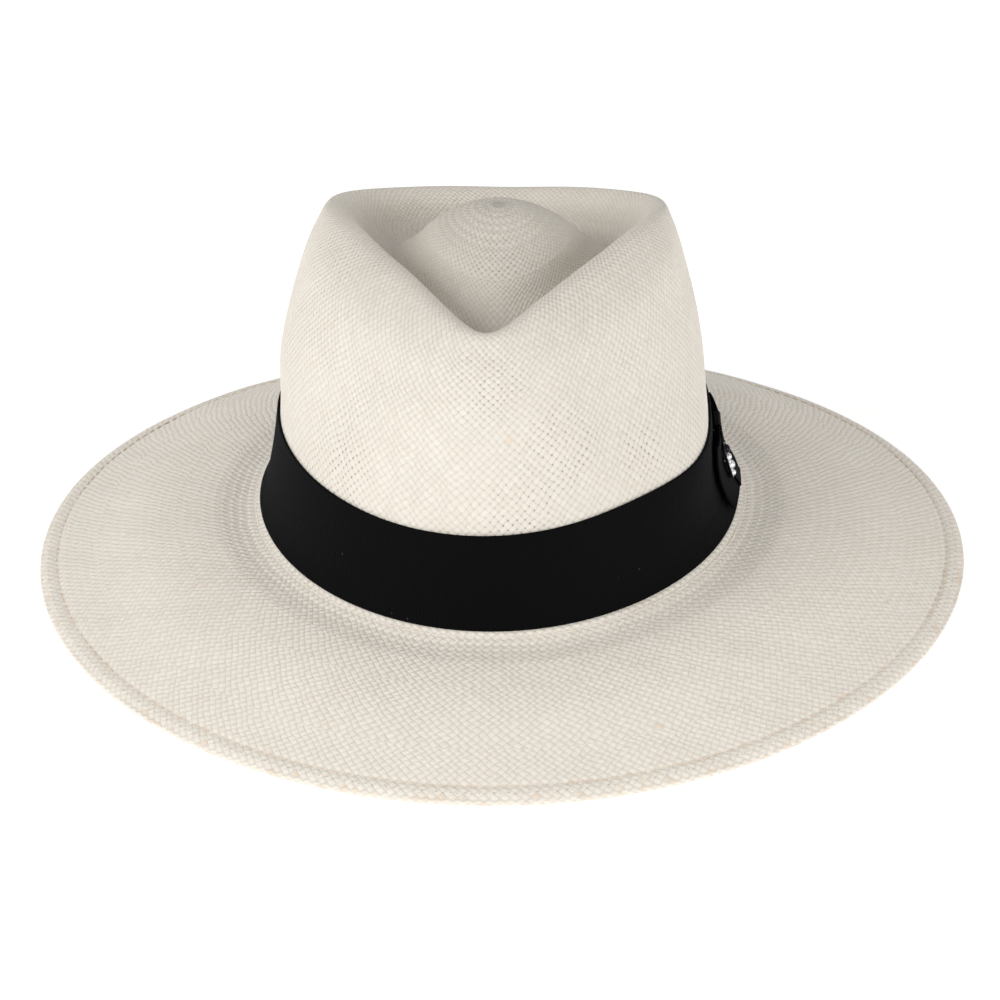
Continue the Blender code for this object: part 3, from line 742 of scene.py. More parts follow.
def straw_material():
    """Plain weave of flat straws at 45 degrees, with gaps where four of them meet."""
    n = Nodes("woven_straw", 0.58, specular=0.35)
    u, v = n.coordinates("weave")
    around, station = n.coordinates("place")
    first, second = (u + v) * 0.5, (u - v) * 0.5
    first_cell, second_cell = n.math("FLOOR", first), n.math("FLOOR", second)
    first_at, second_at = n.math("FRACT", first), n.math("FRACT", second)
    turn = n.math("FLOORED_MODULO", first_cell + second_cell, 2.0)
    across = n.blend(turn, first_at, second_at)
    along = n.blend(turn, second_at, first_at)
    strand = n.blend(turn, first_cell, second_cell + 3000.0)
    run = n.blend(turn, second, first)

    # Each straw arches over its neighbour and dives under the next one, with crisp sides.
    arch = 1.0 - abs(along * 2.0 - 1.0)**2.0
    side = abs(across * 2.0 - 1.0)
    fibre = n.noise(n.vector(run * 0.55, across * 5.5, strand), 1.0, 3.0)
    height = fibre * 0.22 + arch * (1.0 - side**2.2 * 0.50)

    # Gaps between four straws, wide in some patches and nearly closed in others; the gaps and the hollows
    # round them are painted dark, as painted shade.
    first_corner, second_corner = n.math("ROUND", first), n.math("ROUND", second)
    off = n.most(abs(first - first_corner), abs(second - second_corner))
    loose = n.ramp(station, FOOT - 6.0, FOOT + 6.0, 0.12, 1.0)
    patch = n.ramp(n.solid_noise(24.0, 2.0), 0.42, 0.68, 0.0, 0.8) * loose
    for centre, reach in LOOSE_PATCHES:
        patch = n.most(patch, n.near(centre, reach))
    chance = n.random(first_corner, second_corner, 7.0)
    gap = patch * chance * 0.07 + (chance * 0.03 + 0.01)
    hole = n.ramp(off, gap, gap + 0.07, 1.0, 0.0) * (patch * 0.55 + (loose * 0.18 + 0.04))
    hollow_shade = n.ramp(off, 0.06, 0.36, 1.0, 0.0) * (loose * 0.04 + 0.05)

    # Every straw and every crossing has its own tone, and painted shade makes the crown darker than the brim
    # and its top darker again.
    tone = n.random(strand, 1.0) + n.random(first_cell, second_cell, 11.0)
    brightness = (tone * 0.035 + 0.965) * (fibre * 0.10 + 0.95) * (n.solid_noise(18.0, 3.0) * 0.06 + 0.97)
    top = n.ramp(station, STATION["lip"] - 4.0, STATION["moat"], CROWN_PAINTED_SHADE, TOP_PAINTED_SHADE)
    brightness = brightness * n.ramp(station, FOOT, STATION["wall_low"], 1.0, top)
    # Painted shade where each straw dives under its neighbour, and between the rounds.
    brightness = brightness * (1.0 - n.ramp(arch, 0.60, 0.0) * 0.07) * (1.0 - round_valley_shade(n, station))
    colour = n.mix(n.ramp(n.random(strand, 5.0), 0.6, 1.0, 0.0, 0.18), STRAW_COLOUR, STRAW_WARM)
    pale = n.ramp(n.random(first_cell, second_cell, 9.0), 0.6, 1.0, 0.0, 0.2)
    colour = n.mix(pale, colour, STRAW_PALE)

    # A few straws end in a tan speck, more of them along the turned edge and its groove.
    edge = n.ramp(station, 2.6, 0.4)
    groove = n.ramp(station, 4.9, 6.1) * n.ramp(station, 7.6, 6.4)
    speck = n.ramp(n.random(first_cell, second_cell, 3.0), n.most(edge, groove) * -0.42 + 0.999, 1.0)
    colour = n.mix(speck * (arch * 0.35 + 0.1), colour, SPECK_COLOUR)
    colour = n.tint(colour, brightness)
    # Painted shade in the gaps and the hollows round them.
    colour = n.mix(n.most(hole, hollow_shade) * 0.90, colour, HOLE_SHADE_COLOUR)

    # Needle holes along the turned edge, dented in and painted dark: painted shade.
    prick = n.ramp(n.zigzag(around, 2.35), 0.55, 0.15) * n.ramp(abs(station - 2.9), 0.5, 0.15)
    colour = n.mix(prick * 0.30, colour, HOLE_SHADE_COLOUR)
    relief = height - n.most(hole, prick) * 0.9
    return n.finish(colour, n.bump(relief, 0.30, 0.9), fibre * 0.16 + 0.50)


RIB_PITCH = 1.4
RIBBON_COLOUR = (0.0008, 0.0008, 0.0010, 1.0)
RIBBON_THREAD = (0.0044, 0.0044, 0.0052, 1.0)
LINT_COLOUR = (0.10, 0.09, 0.085, 1.0)


def ribbon_material():
    """Black grosgrain: the ribs are in the mesh, and fine warp threads lie over them."""
    n = Nodes("grosgrain", 0.70, specular=0.05)
    along, across = n.coordinates("place")
    rib = n.zigzag(along * (1.0 / RIB_PITCH), 0.5)
    weave = n.zigzag(across * 2.4, 0.5) * n.ramp(rib, 0.0, 0.5, 0.4, 1.0)
    fuzz = n.solid_noise(2600.0, 3.0)
    colour = n.mix(weave * 0.7 + fuzz * 0.5, RIBBON_COLOUR, RIBBON_THREAD)
    lint = n.ramp(n.solid_noise(420.0, 0.0), 0.86, 0.90)
    n.shader.inputs["Sheen Weight"].default_value = 0.006
    n.shader.inputs["Sheen Roughness"].default_value = 0.40
    return n.finish(n.mix(lint * 0.6, colour, LINT_COLOUR), n.bump(weave * 0.6 + fuzz * 0.4, 0.09, 0.6))


def thread_material(name, colour, dark):
    """Twisted sewing thread, with its ply across the stitch."""
    n = Nodes(name, 0.62, specular=0.3)
    along, across = n.coordinates("place")
    twist = n.zigzag(along * 2.6 + across * 1.6, 0.5)
    shade = n.solid_noise(900.0, 2.0) * 0.4 + twist * 0.9
    return n.finish(n.mix(shade, dark, colour), n.bump(twist, 0.08, 0.7))


def leather_material():
    """Dark dyed sweatband leather with a fine pebbled grain and soft wear."""
    n = Nodes("sweatband_leather", 0.46, specular=0.45)
    inputs = {"Vector": n.position(), "Scale": 1300.0}
    grain = n.add("ShaderNodeTexVoronoi", "Distance", inputs, feature="F1")
    wear = n.ramp(n.solid_noise(40.0, 3.0), 0.45, 0.75)
    colour = n.mix(wear, (0.040, 0.027, 0.020, 1.0), (0.085, 0.058, 0.042, 1.0))
    colour = n.mix(grain * 0.5, colour, (0.018, 0.012, 0.009, 1.0))
    height = n.solid_noise(160.0, 5.0) * 0.8 + grain * -0.7
    return n.finish(colour, n.bump(height, 0.14, 0.6), wear * 0.14 + 0.40)


def cloth_material(name, colour, dark, pitch):
    """Plain woven cotton tape: over and under threads in both directions."""
    n = Nodes(name, 0.85, specular=0.2)
    warp, weft = [n.math("SINE", value * (2.0 * math.pi / pitch)) for value in n.coordinates("place")]
    over = warp * weft * 0.5 + 0.5
    shade = n.solid_noise(1500.0, 3.0) * 0.5 + over * 0.5
    return n.finish(n.mix(shade, dark, colour), n.bump(over, 0.10, 0.6))


def metal_material(name, colour, roughness, scratch_scale):
    """Polished plated metal with faint polishing marks and a little tarnish."""
    n = Nodes(name, roughness, metallic=1.0)
    marks = n.solid_noise(scratch_scale, 4.0)
    tarnish = n.ramp(n.solid_noise(420.0, 3.0), 0.5, 0.8)
    darker = (colour[0] * 0.62, colour[1] * 0.60, colour[2] * 0.56, 1.0)
    shade = n.mix(tarnish * 0.5, (*colour, 1.0), darker)
    return n.finish(shade, n.bump(marks, 0.02, 0.35), marks * 0.16 + (roughness - 0.05))


def reed_material():
    """Slightly cloudy plastic reed with drawing marks along it."""
    n = Nodes("plastic_reed", 0.35)
    streak = n.solid_noise(320.0, 3.0)
    colour = n.mix(streak, (0.50, 0.48, 0.42, 1.0), (0.70, 0.68, 0.62, 1.0))
    return n.finish(colour, n.bump(streak, 0.03, 0.4))


# ---------------------------------------------------------------- ribbons and bands

RIB_DEPTH = 0.07
PICOT = 0.13               # how far the ribs' ends stand out along a ribbon's edges
RIB_POINTS = 4             # points along each rib's pitch


def grid_faces(builder, numbers, along, levels, closed):
    """Faces between each row and the next, and between the last row and the first."""
    for index, first in enumerate(numbers):
        following = (index + 1) % len(numbers)
        place = cell_corners(along, levels[index], levels[following])
        builder.quads(quad_corners(first, numbers[following], closed), place / RIB_PITCH, place)


def closed_both_ways(name, rows, along, levels, made_material):
    """A band whose rows run right round it, and whose last row meets the first."""
    builder = Builder()
    grid_faces(builder, [builder.add(row) for row in rows], along, levels, True)
    return finish_piece(builder, name, made_material)


def closed_slab(name, outside, inside, along, heights, made_material):
    """A thin patch between two grids of points, closed along its four sides."""
    builder = Builder()
    numbers = [builder.add(row) for row in list(outside) + list(inside[::-1])]
    grid_faces(builder, numbers, along, list(heights) + list(heights[::-1]), False)
    count = len(heights)
    for side, turned in ((0, False), (-1, True)):
        top = np.array([row[side] for row in numbers[:count]])
        bottom = np.array([row[side] for row in numbers[count:]])[::-1]
        builder.turned = turned
        place = np.zeros((count - 1, 4, 2)) + np.array([along[side], 0.0])
        builder.quads(quad_corners(bottom, top, False), place / RIB_PITCH, place)
    return finish_piece(builder, name, made_material)


def edge_profile(low, high, face, thickness, rows):
    """Heights and lifts across a ribbon's outer face, rounded over at both edges."""
    heights = np.concatenate([[low, low + 0.12, low + 0.45], np.linspace(low + 1.2, high - 1.2, rows),
                              [high - 0.45, high - 0.12, high]])
    lifts = np.full(len(heights), face)
    lifts[[0, -1]] -= 0.45 * thickness
    lifts[[1, -2]] -= 0.12 * thickness
    return heights, lifts


def make_band(ribbon):
    """The grosgrain band, stretched round the foot of the crown."""
    ribs = int(round(BAND_LENGTH / RIB_PITCH))
    columns = ribs * RIB_POINTS
    fractions = FRONT_OF_ROW + np.arange(columns) / columns
    rib = np.cos(2.0 * math.pi * np.arange(columns) / RIB_POINTS)
    heights, lifts = edge_profile(BAND_LOW, BAND_HIGH, BAND_OUTSIDE - RIB_DEPTH, BAND, 6)
    rows, levels = [], []
    for index, (height, lift) in enumerate(zip(heights, lifts)):
        at_edge = {0: -1.0, len(heights) - 1: 1.0}.get(index, 0.0)
        point, normal, inward = frames(fractions, height)
        row = point + normal * (lift + RIB_DEPTH * rib)[:, None]
        rows.append(row + inward * (PICOT * at_edge * rib)[:, None])
        levels.append(height)
    for height in np.linspace(BAND_HIGH, BAND_LOW, 4):
        rows.append(lifted(fractions, height, GAP))
        levels.append(height)
    along = np.linspace(0.0, ribs * RIB_PITCH, columns + 1)
    return closed_both_ways("hat_band_grosgrain", rows, along, levels, ribbon)


def resampled(path):
    """A closed path with its points at even distances, and the distances."""
    closed = np.concatenate([path, path[:1]])
    lengths = lengths_along(closed)
    count = int(round(lengths[-1] / RIB_PITCH)) * RIB_POINTS
    at = np.linspace(0.0, lengths[-1], count + 1)
    points = np.stack([np.interp(at[:-1], lengths, closed[:, axis]) for axis in range(2)], axis=-1)
    return points, at


def rounded(path, blur):
    """A closed path with its corners rounded off."""
    reach = int(3 * blur)
    offsets = np.arange(-reach, reach + 1)
    weights = np.exp(-0.5 * (offsets / blur)**2)
    weights /= weights.sum()
    return sum(weight * np.roll(path, -offset, axis=0) for weight, offset in zip(weights, offsets))


def path_sides(points):
    """Unit normals of a closed path in its own plane, pointing to its right."""
    along = unit(np.roll(points, -1, axis=0) - np.roll(points, 1, axis=0))
    return np.stack([along[:, 1], -along[:, 0]], axis=-1)


def bow_loop_path():
    """The bow's ribbon seen from above, as (arc, lift): the outer layer, then the inner one."""
    outer = [(-22.6, 3.25), (-19.0, 3.45), (-14.0, 3.45), (-8.0, 3.4), (0.0, 3.4), (8.0, 3.4),
             (14.0, 3.1), (19.0, 2.9), (22.6, 2.75)]
    rear_fold = [(23.8, 2.65), (24.2, 2.42), (23.8, 2.2)]
    inner = [(22.6, 2.1), (19.0, 2.15), (14.0, 2.35), (8.0, 2.75), (0.0, 2.8), (-8.0, 2.8),
             (-14.0, 2.8), (-19.0, 2.65), (-22.6, 2.35)]
    front_fold = [(-23.8, 2.5), (-24.2, 2.8), (-23.8, 3.1)]
    return np.array(outer + rear_fold + inner + front_fold)


def bow_wrap_path():
    """The wrap seen from its end, as (height, lift), round the loops and the tail."""
    reach = BOW_HALF_HEIGHT + GAP + 0.5 * RIBBON
    corner = reach - 0.7
    return np.array([(-corner, 4.0), (corner, 4.0), (reach, 3.6), (reach, 1.9), (corner, 1.55),
                     (-corner, 1.55), (-reach, 1.9), (-reach, 3.6)])


def ribbon_sides(path):
    """The outer and inner lines of a ribbon that follows a closed path, with its ribs."""
    points, along = resampled(path)
    rib = np.cos(2.0 * math.pi * np.arange(len(points)) / RIB_POINTS)
    sides = path_sides(rounded(points, 1.5))
    half = 0.5 * RIBBON
    return (points + sides * (half - RIB_DEPTH + RIB_DEPTH * rib)[:, None],
            points - sides * (half - RIB_DEPTH - RIB_DEPTH * rib)[:, None], along, rib)


def make_bow_loops(ribbon):
    """Two flat loops of ribbon, pleated a little where the wrap holds them."""
    near, far, along, rib = ribbon_sides(bow_loop_path())
    heights, dips = edge_profile(-BOW_HALF_HEIGHT, BOW_HALF_HEIGHT, 0.0, RIBBON, 7)
    rows, levels = [], []
    for line, order in ((near, 1), (far, -1)):
        for height, dip in list(zip(heights, dips))[::order]:
            at_edge = math.copysign(1.0, height) if abs(height) == BOW_HALF_HEIGHT else 0.0
            gather = np.exp(-((np.abs(line[:, 0]) - 8.0) / 4.5)**2)
            pleat = 0.10 * gather * math.cos(2.0 * math.pi * height / 7.5)
            station = BAND_MIDDLE + BOW_RISE + height
            point, normal, inward = frames(BOW_AT + line[:, 0] / BAND_LENGTH, station)
            row = point + normal * (line[:, 1] + pleat + dip * order)[:, None]
            rows.append(row + inward * (PICOT * at_edge * rib)[:, None])
            levels.append(height)
    return closed_both_ways("bow_loops_ribbon", rows, along, levels, ribbon)


def make_bow_wrap(ribbon):
    """The short ribbon that is wrapped round the bow's middle."""
    near, far, along, rib = ribbon_sides(bow_wrap_path())
    arcs, dips = edge_profile(-WRAP_HALF_WIDTH, WRAP_HALF_WIDTH, 0.0, RIBBON, 4)
    rows, levels = [], []
    for line, order in ((near, 1), (far, -1)):
        grid = np.zeros((len(arcs), len(line), 3))
        for column, (height, lift) in enumerate(line):
            picot = np.where(np.abs(arcs) == WRAP_HALF_WIDTH, PICOT * rib[column], 0.0) * np.sign(arcs)
            fractions = BOW_AT + (arcs + picot) / BAND_LENGTH
            grid[:, column] = lifted(fractions, BAND_MIDDLE + BOW_RISE + height, lift + dips * order)
        rows += list(grid[::order])
        levels += list(arcs[::order])
    return closed_both_ways("bow_wrap_ribbon", rows, along, levels, ribbon)


def tail_lift(arc):
    """The tail lies on the wrap's back layer at the bow's centre and on the band beyond it."""
    centre, beyond = 2.25, 1.6
    share = smooth((np.abs(arc) - WRAP_HALF_WIDTH - 2.0) / 10.0)
    return centre + (beyond - centre) * share


def make_bow_tail(ribbon):
    """The ribbon's tail under the rear loop, with a swallow-tail notch."""
    columns = int(round((TAIL_END - TAIL_START) / RIB_PITCH)) * RIB_POINTS
    rib = np.cos(2.0 * math.pi * np.arange(columns + 1) / RIB_POINTS)
    heights = np.linspace(-BOW_HALF_HEIGHT, BOW_HALF_HEIGHT, 21)
    outside, inside = [], []
    for height in heights:
        end = TAIL_END - TAIL_NOTCH * (1.0 - abs(height) / BOW_HALF_HEIGHT)
        arcs = np.linspace(TAIL_START, end, columns + 1)
        curl = 0.35 * smooth((arcs - TAIL_END + 14.0) / 14.0) * (0.6 + 0.4 * math.cos(0.2 * height))
        lift = tail_lift(arcs) + curl
        point, normal, _ = frames(BOW_AT + arcs / BAND_LENGTH, BAND_MIDDLE + BOW_RISE + height)
        outside.append(point + normal * (lift + 0.5 * RIBBON - RIB_DEPTH + RIB_DEPTH * rib)[:, None])
        inside.append(point + normal * (lift - 0.5 * RIBBON)[:, None])
    along = np.linspace(0.0, TAIL_END - TAIL_START, columns + 1)
    return closed_slab("bow_tail_ribbon", outside, inside, along, heights, ribbon)


# ---------------------------------------------------------------- stitches

STITCH_RINGS = np.array([(0.0, 0.25), (0.08, 0.72), (0.25, 1.0), (0.75, 1.0), (0.92, 0.72), (1.0, 0.25)])
STITCH_SIDES = 8
HEM_STITCH = (4.7, 0.66)   # the distance between stitches, and how much of it each one covers
SWEATBAND_STITCH = (3.4, 0.72)
KNOT = (2.3, 0.80)
KNOT_RADIUS = 0.42
KNOT_LIFT = -0.16
KNOTS_BELOW = 2.6          # the row of knots beside the band, where the brim's weaving starts
HEM_STITCH_LIFT = -0.12
HEM_SEAM_IN = 1.2          # from the hem's inner edge to its stitches


def make_stitches(name, station, lift, stitch, radius, made_material):
    """A row of short stitches right round the hat, each sinking in at its ends."""
    pitch, share = stitch
    length = ring_length(station)
    count = int(round(length / pitch))
    builder = Builder()
    rings = []
    for along, thickness in STITCH_RINGS:
        fractions = FRONT_OF_ROW + (np.arange(count) + 0.5 + share * (along - 0.5)) / count
        point, normal, inward = frames(fractions, station)
        sunk = -0.6 * radius * (1.0 - thickness)
        around = []
        for side in range(STITCH_SIDES):
            angle = 2.0 * math.pi * side / STITCH_SIDES
            offset = normal * (lift + sunk + radius * thickness * math.cos(angle))
            around.append(point + offset + inward * radius * thickness * math.sin(angle))
        rings.append(np.stack(around, axis=1))
    numbers = [builder.add(ring).reshape(count, STITCH_SIDES) for ring in rings]
    for index in range(len(numbers) - 1):
        first, second = numbers[index], numbers[index + 1]
        next_first, next_second = np.roll(first, -1, axis=1), np.roll(second, -1, axis=1)
        corners = np.stack([first, next_first, next_second, second], axis=-1).reshape(-1, 4)
        low, high = STITCH_RINGS[index:index + 2, 0] * pitch * share
        side = np.tile(np.arange(STITCH_SIDES) / STITCH_SIDES, count)
        next_side = side + 1.0 / STITCH_SIDES
        place = np.stack([np.column_stack([np.full(len(side), along), across]) for along, across in
                          ((low, side), (low, next_side), (high, next_side), (high, side))], axis=1)
        builder.quads(corners, place, place)
    for row, turned in ((numbers[0], True), (numbers[-1], False)):
        builder.turned = turned
        for side in range(1, STITCH_SIDES - 1):
            corners = np.stack([row[:, 0], row[:, side], row[:, side + 1]], axis=-1)
            place = np.zeros((count, 3, 2))
            builder.faces(corners, place, place)
    return finish_piece(builder, name, made_material)


# ---------------------------------------------------------------- inside the crown

INSIDE_COLUMNS = 360
SWEATBAND_LOW = STATION["wall_foot"] + SWEATBAND_RISE
THREAD_RADIUS = 0.25
SEAM_RISE = 2.0            # from the sweatband's lower edge to its stitches
REED_RADIUS = 0.65
REED_SIDES = 12
TAPE_INSIDE_RADIUS = REED_RADIUS + GAP
TAPE_OUTSIDE_RADIUS = TAPE_INSIDE_RADIUS + 0.4
TAPE_OPENING = math.radians(70.0)
REED_STATION = SWEATBAND_LOW - GAP - TAPE_OUTSIDE_RADIUS
REED_LIFT = -(STRAW + GAP + TAPE_OUTSIDE_RADIUS)
EDGE_WAVE = 0.22           # unevenness of the sweatband's upper edge
WAVE_START = 20.0
SEAM_TAPE = 0.35
SEAM_AT = 0.5              # the share of the way round from the front
SEAM_HALF_WIDTH = 7.0
SEAM_HEIGHTS = (4.0, 28.0)
LABEL_AT = 0.56
LABEL_HALF_WIDTH = 13.0
LABEL_HEIGHTS = (9.0, 24.0)
AROUND_INSIDE = FRONT_OF_ROW + np.arange(INSIDE_COLUMNS) / INSIDE_COLUMNS
ALONG_INSIDE = np.linspace(0.0, BAND_LENGTH, INSIDE_COLUMNS + 1)


def make_sweatband(leather):
    """The leather band: a skived top edge that is not quite even, and a slightly padded face."""
    sections = [(0.0, -0.18), (0.5, 0.0), (2.0, -0.06), (3.2, 0.0), (8.0, 0.0), (15.0, 0.0), (22.0, 0.0),
                (27.0, 0.0), (29.0, 0.0), (29.7, -0.15), (30.0, -0.45)]
    rows, levels = [], []
    for height, thinner in sections:
        uneven = wobble(lifted(AROUND_INSIDE, SWEATBAND_LOW, 0.0), 60.0, 5)
        wave = EDGE_WAVE * uneven * smooth((height - WAVE_START) / 10.0)
        point, normal, inward = frames(AROUND_INSIDE, SWEATBAND_LOW + height)
        lowered = inward * (wave - EDGE_WAVE)[:, None] * (height > WAVE_START)
        rows.append(point + normal * (SWEATBAND_INSIDE - thinner) + lowered)
        levels.append(height)
    for height in (29.5, 15.0, 0.0):
        rows.append(lifted(AROUND_INSIDE, SWEATBAND_LOW + height, SWEATBAND_OUTSIDE))
        levels.append(height)
    return closed_both_ways("sweatband_leather_band", rows, ALONG_INSIDE, levels, leather)


def reed_rows(radius, angles):
    """Rows round the hat at a distance from the reed's middle, and the place of each round it."""
    point, normal, inward = frames(AROUND_INSIDE, REED_STATION)
    rows = [point + normal * (REED_LIFT + radius * math.cos(angle)) + inward * radius * math.sin(angle)
            for angle in angles]
    return rows, [radius * angle for angle in angles]


def make_reed_tape(tape):
    """The tape that wraps the reed, open at the top where the sweatband's edge sits."""
    start = 0.5 * math.pi + 0.5 * TAPE_OPENING
    angles = start + np.linspace(0.0, 2.0 * math.pi - TAPE_OPENING, 14)
    outer, outer_levels = reed_rows(TAPE_OUTSIDE_RADIUS, angles)
    inner, inner_levels = reed_rows(TAPE_INSIDE_RADIUS, angles[::-1])
    levels = outer_levels + inner_levels
    return closed_both_ways("reed_tape_cotton", outer + inner, ALONG_INSIDE, levels, tape)


def make_reed(reed):
    rows, levels = reed_rows(REED_RADIUS, 2.0 * math.pi * np.arange(REED_SIDES) / REED_SIDES)
    return closed_both_ways("sweatband_reed_rod", rows, ALONG_INSIDE, levels, reed)


def make_inside_patch(name, centre, half_width, low, high, made_material):
    """A soft flat patch on the inside of the sweatband."""
    arcs = np.linspace(-half_width, half_width, 41)
    heights = np.linspace(low, high, 25)
    outside, inside = [], []
    for height in heights:
        rim = np.minimum(half_width - np.abs(arcs), min(height - low, high - height))
        puff = 0.12 * smooth(rim / 0.8) + 0.05 * np.cos(arcs * 1.3) * smooth(rim / 3.0)
        station = SWEATBAND_LOW + height
        far = SWEATBAND_INSIDE - GAP
        fractions = centre + arcs / BAND_LENGTH
        outside.append(lifted(fractions, station, far - SEAM_TAPE + 0.12 - puff))
        inside.append(lifted(fractions, station, far))
    return closed_slab(name, outside, inside, arcs, heights, made_material)


# ---------------------------------------------------------------- the pin

PIN_LENGTH = 14.4
PIN_WIDTH = 5.6
PIN_STUDS = ((4.8, 1.9), (1.3, 1.5), (-2.1, 1.9), (-5.5, 1.3))
BADGE_BACK = 4.6
# The plate's section, as (distance in from its outline, height above the badge's back).
PLATE_PROFILE = ((0.30, 0.0), (0.08, 0.08), (0.0, 0.25), (0.0, 0.60), (0.07, 0.78), (0.22, 0.87),
                 (0.45, 0.90), (0.75, 0.90), (0.95, 0.80), (1.15, 0.80))
STUD_RINGS = 9
COLLAR = 0.12              # the collar's width round each stud
STUD_FOOT = 0.96           # above the badge's back
ROUND_STEPS = 32


def in_pin_frame(points):
    """Puts points on the hat: X is along the band, Y up the wall, Z outward, with Z = 0 on the straw."""
    fraction = np.array([BOW_AT + PIN_ARC / BAND_LENGTH])
    origin, normal, inward = (array[0] for array in frames(fraction, BAND_MIDDLE + PIN_HEIGHT))
    return points @ np.array([np.cross(inward, normal), inward, normal]) + origin


def stadium(inset):
    """The plate's outline, drawn in by an inset."""
    radius, straight = 0.5 * PIN_WIDTH - inset, 0.5 * (PIN_LENGTH - PIN_WIDTH)
    angle = 2.0 * math.pi * np.arange(4 * ROUND_STEPS) / (4 * ROUND_STEPS)
    y = radius * np.sin(angle)
    return np.stack([radius * np.cos(angle), y + straight * np.where(y >= -1e-9, 1.0, -1.0)], axis=-1)


def turned_shape(name, rows, made_material):
    """A closed shape from rings of points, with a fan at both ends."""
    builder = Builder()
    numbers = [builder.add(in_pin_frame(row)) for row in rows]
    share = np.linspace(0.0, 1.0, len(rows[0]) + 1)
    for index, (first, second) in enumerate(zip(numbers, numbers[1:])):
        place = cell_corners(share, index, index + 1)
        builder.quads(quad_corners(first, second, True), place, place)
    for row, points, turned in ((numbers[0], rows[0], True), (numbers[-1], rows[-1], False)):
        builder.turned = turned
        middle = builder.add(in_pin_frame(points.mean(axis=0)[None]))[0]
        corners = np.stack([row, np.roll(row, -1), np.full(len(row), middle)], axis=-1)
        place = np.zeros((len(row), 3, 2))
        builder.faces(corners, place, place)
    return finish_piece(builder, name, made_material)


def make_pin(silver, enamel):
    """A plain dark bar with a raised rim, and four rounded studs in small collars, the first one dark."""
    rows = [np.column_stack([stadium(inset), np.full(4 * ROUND_STEPS, BADGE_BACK + height)])
            for inset, height in PLATE_PROFILE]
    pieces = [turned_shape("pin_plate", rows, enamel)]
    angle = 2.0 * math.pi * np.arange(ROUND_STEPS) / ROUND_STEPS
    circle = np.stack([np.cos(angle), np.sin(angle)], axis=-1)
    for index, (offset, radius) in enumerate(PIN_STUDS):
        profile = [(radius + COLLAR, 0.5), (radius + COLLAR, 0.92), (radius - 0.02, 1.05),
                   (radius - COLLAR, STUD_FOOT)]
        for step in range(STUD_RINGS):
            rise = 0.5 * math.pi * step / STUD_RINGS
            profile.append(((radius - COLLAR) * math.cos(rise), STUD_FOOT + 0.82 * radius * math.sin(rise)))
        rows = [np.column_stack([circle[:, 0] * reach, circle[:, 1] * reach + offset,
                                 np.full(ROUND_STEPS, BADGE_BACK + height)]) for reach, height in profile]
        pieces.append(turned_shape(f"pin_stud_{index + 1}", rows, silver if index else enamel))
    return pieces


# ---------------------------------------------------------------- floor, lights and camera

TARGET = Vector((0.0, 0.0, 0.055))
DISTANCE = 1.2942
ELEVATION = math.radians(24.46)
AZIMUTH = math.radians(2.48)
ROLL = math.radians(-0.487)
SENSOR = 36.0
LENS = 128.43
SHIFT_UP = -0.0832


def make_camera():
    back = Vector((math.sin(AZIMUTH) * math.cos(ELEVATION), -math.cos(AZIMUTH) * math.cos(ELEVATION),
                   math.sin(ELEVATION)))
    level = Vector((0.0, 0.0, 1.0)).cross(back).normalized()
    rise = back.cross(level)
    right = level * math.cos(ROLL) + rise * math.sin(ROLL)
    up = rise * math.cos(ROLL) - level * math.sin(ROLL)
    data = bpy.data.cameras.new("camera")
    data.lens, data.sensor_width = LENS, SENSOR
    data.shift_y = SHIFT_UP
    data.clip_start, data.clip_end = 0.05, 50.0
    camera = bpy.data.objects.new("camera", data)
    bpy.context.scene.collection.objects.link(camera)
    turned = Matrix((right, up, back)).transposed().to_4x4()
    camera.matrix_world = Matrix.Translation(TARGET + back * DISTANCE) @ turned
    bpy.context.scene.camera = camera


# name, azimuth from the front, elevation, distance, width, height, watts
LIGHTS = (("key", -54.0, 27.0, 1.9, 1.3, 0.9, 17.2),
          ("fill", 55.0, 13.0, 1.9, 1.5, 1.0, 12.5))
AMBIENT = 0.54
FLOOR_GLOW = 0.45
BACKDROP_REACH = 9.0


def make_lights():
    for name, azimuth, elevation, distance, width, height, power in LIGHTS:
        turn, rise = math.radians(azimuth), math.radians(elevation)
        away = Vector((math.sin(turn) * math.cos(rise), -math.cos(turn) * math.cos(rise), math.sin(rise)))
        data = bpy.data.lights.new(name, "AREA")
        data.shape = "RECTANGLE"
        data.size, data.size_y = width, height
        data.energy = power
        light = bpy.data.objects.new(name, data)
        bpy.context.scene.collection.objects.link(light)
        light.location = TARGET + away * distance
        light.rotation_euler = away.to_track_quat("Z", "Y").to_euler()
    world = bpy.data.worlds.new("studio")
    world.use_nodes = True
    background = world.node_tree.nodes["Background"]
    background.inputs["Color"].default_value = (1.0, 1.0, 1.0, 1.0)
    background.inputs["Strength"].default_value = AMBIENT
    bpy.context.scene.world = world
    bpy.context.scene.view_settings.view_transform = "Standard"


def stage_plane(name, corners, base, glow):
    mesh = bpy.data.meshes.new(name)
    mesh.from_pydata(corners, [], [tuple(range(first, first + 4)) for first in range(0, len(corners), 4)])
    n = Nodes(name + "_paint", 0.9, specular=0.0)
    n.shader.inputs["Base Color"].default_value = (base, base, base, 1.0)
    n.shader.inputs["Emission Color"].default_value = (1.0, 1.0, 1.0, 1.0)
    n.shader.inputs["Emission Strength"].default_value = glow
    mesh.materials.append(n.material)
    made = bpy.data.objects.new(name, mesh)
    bpy.context.scene.collection.objects.link(made)
    return made


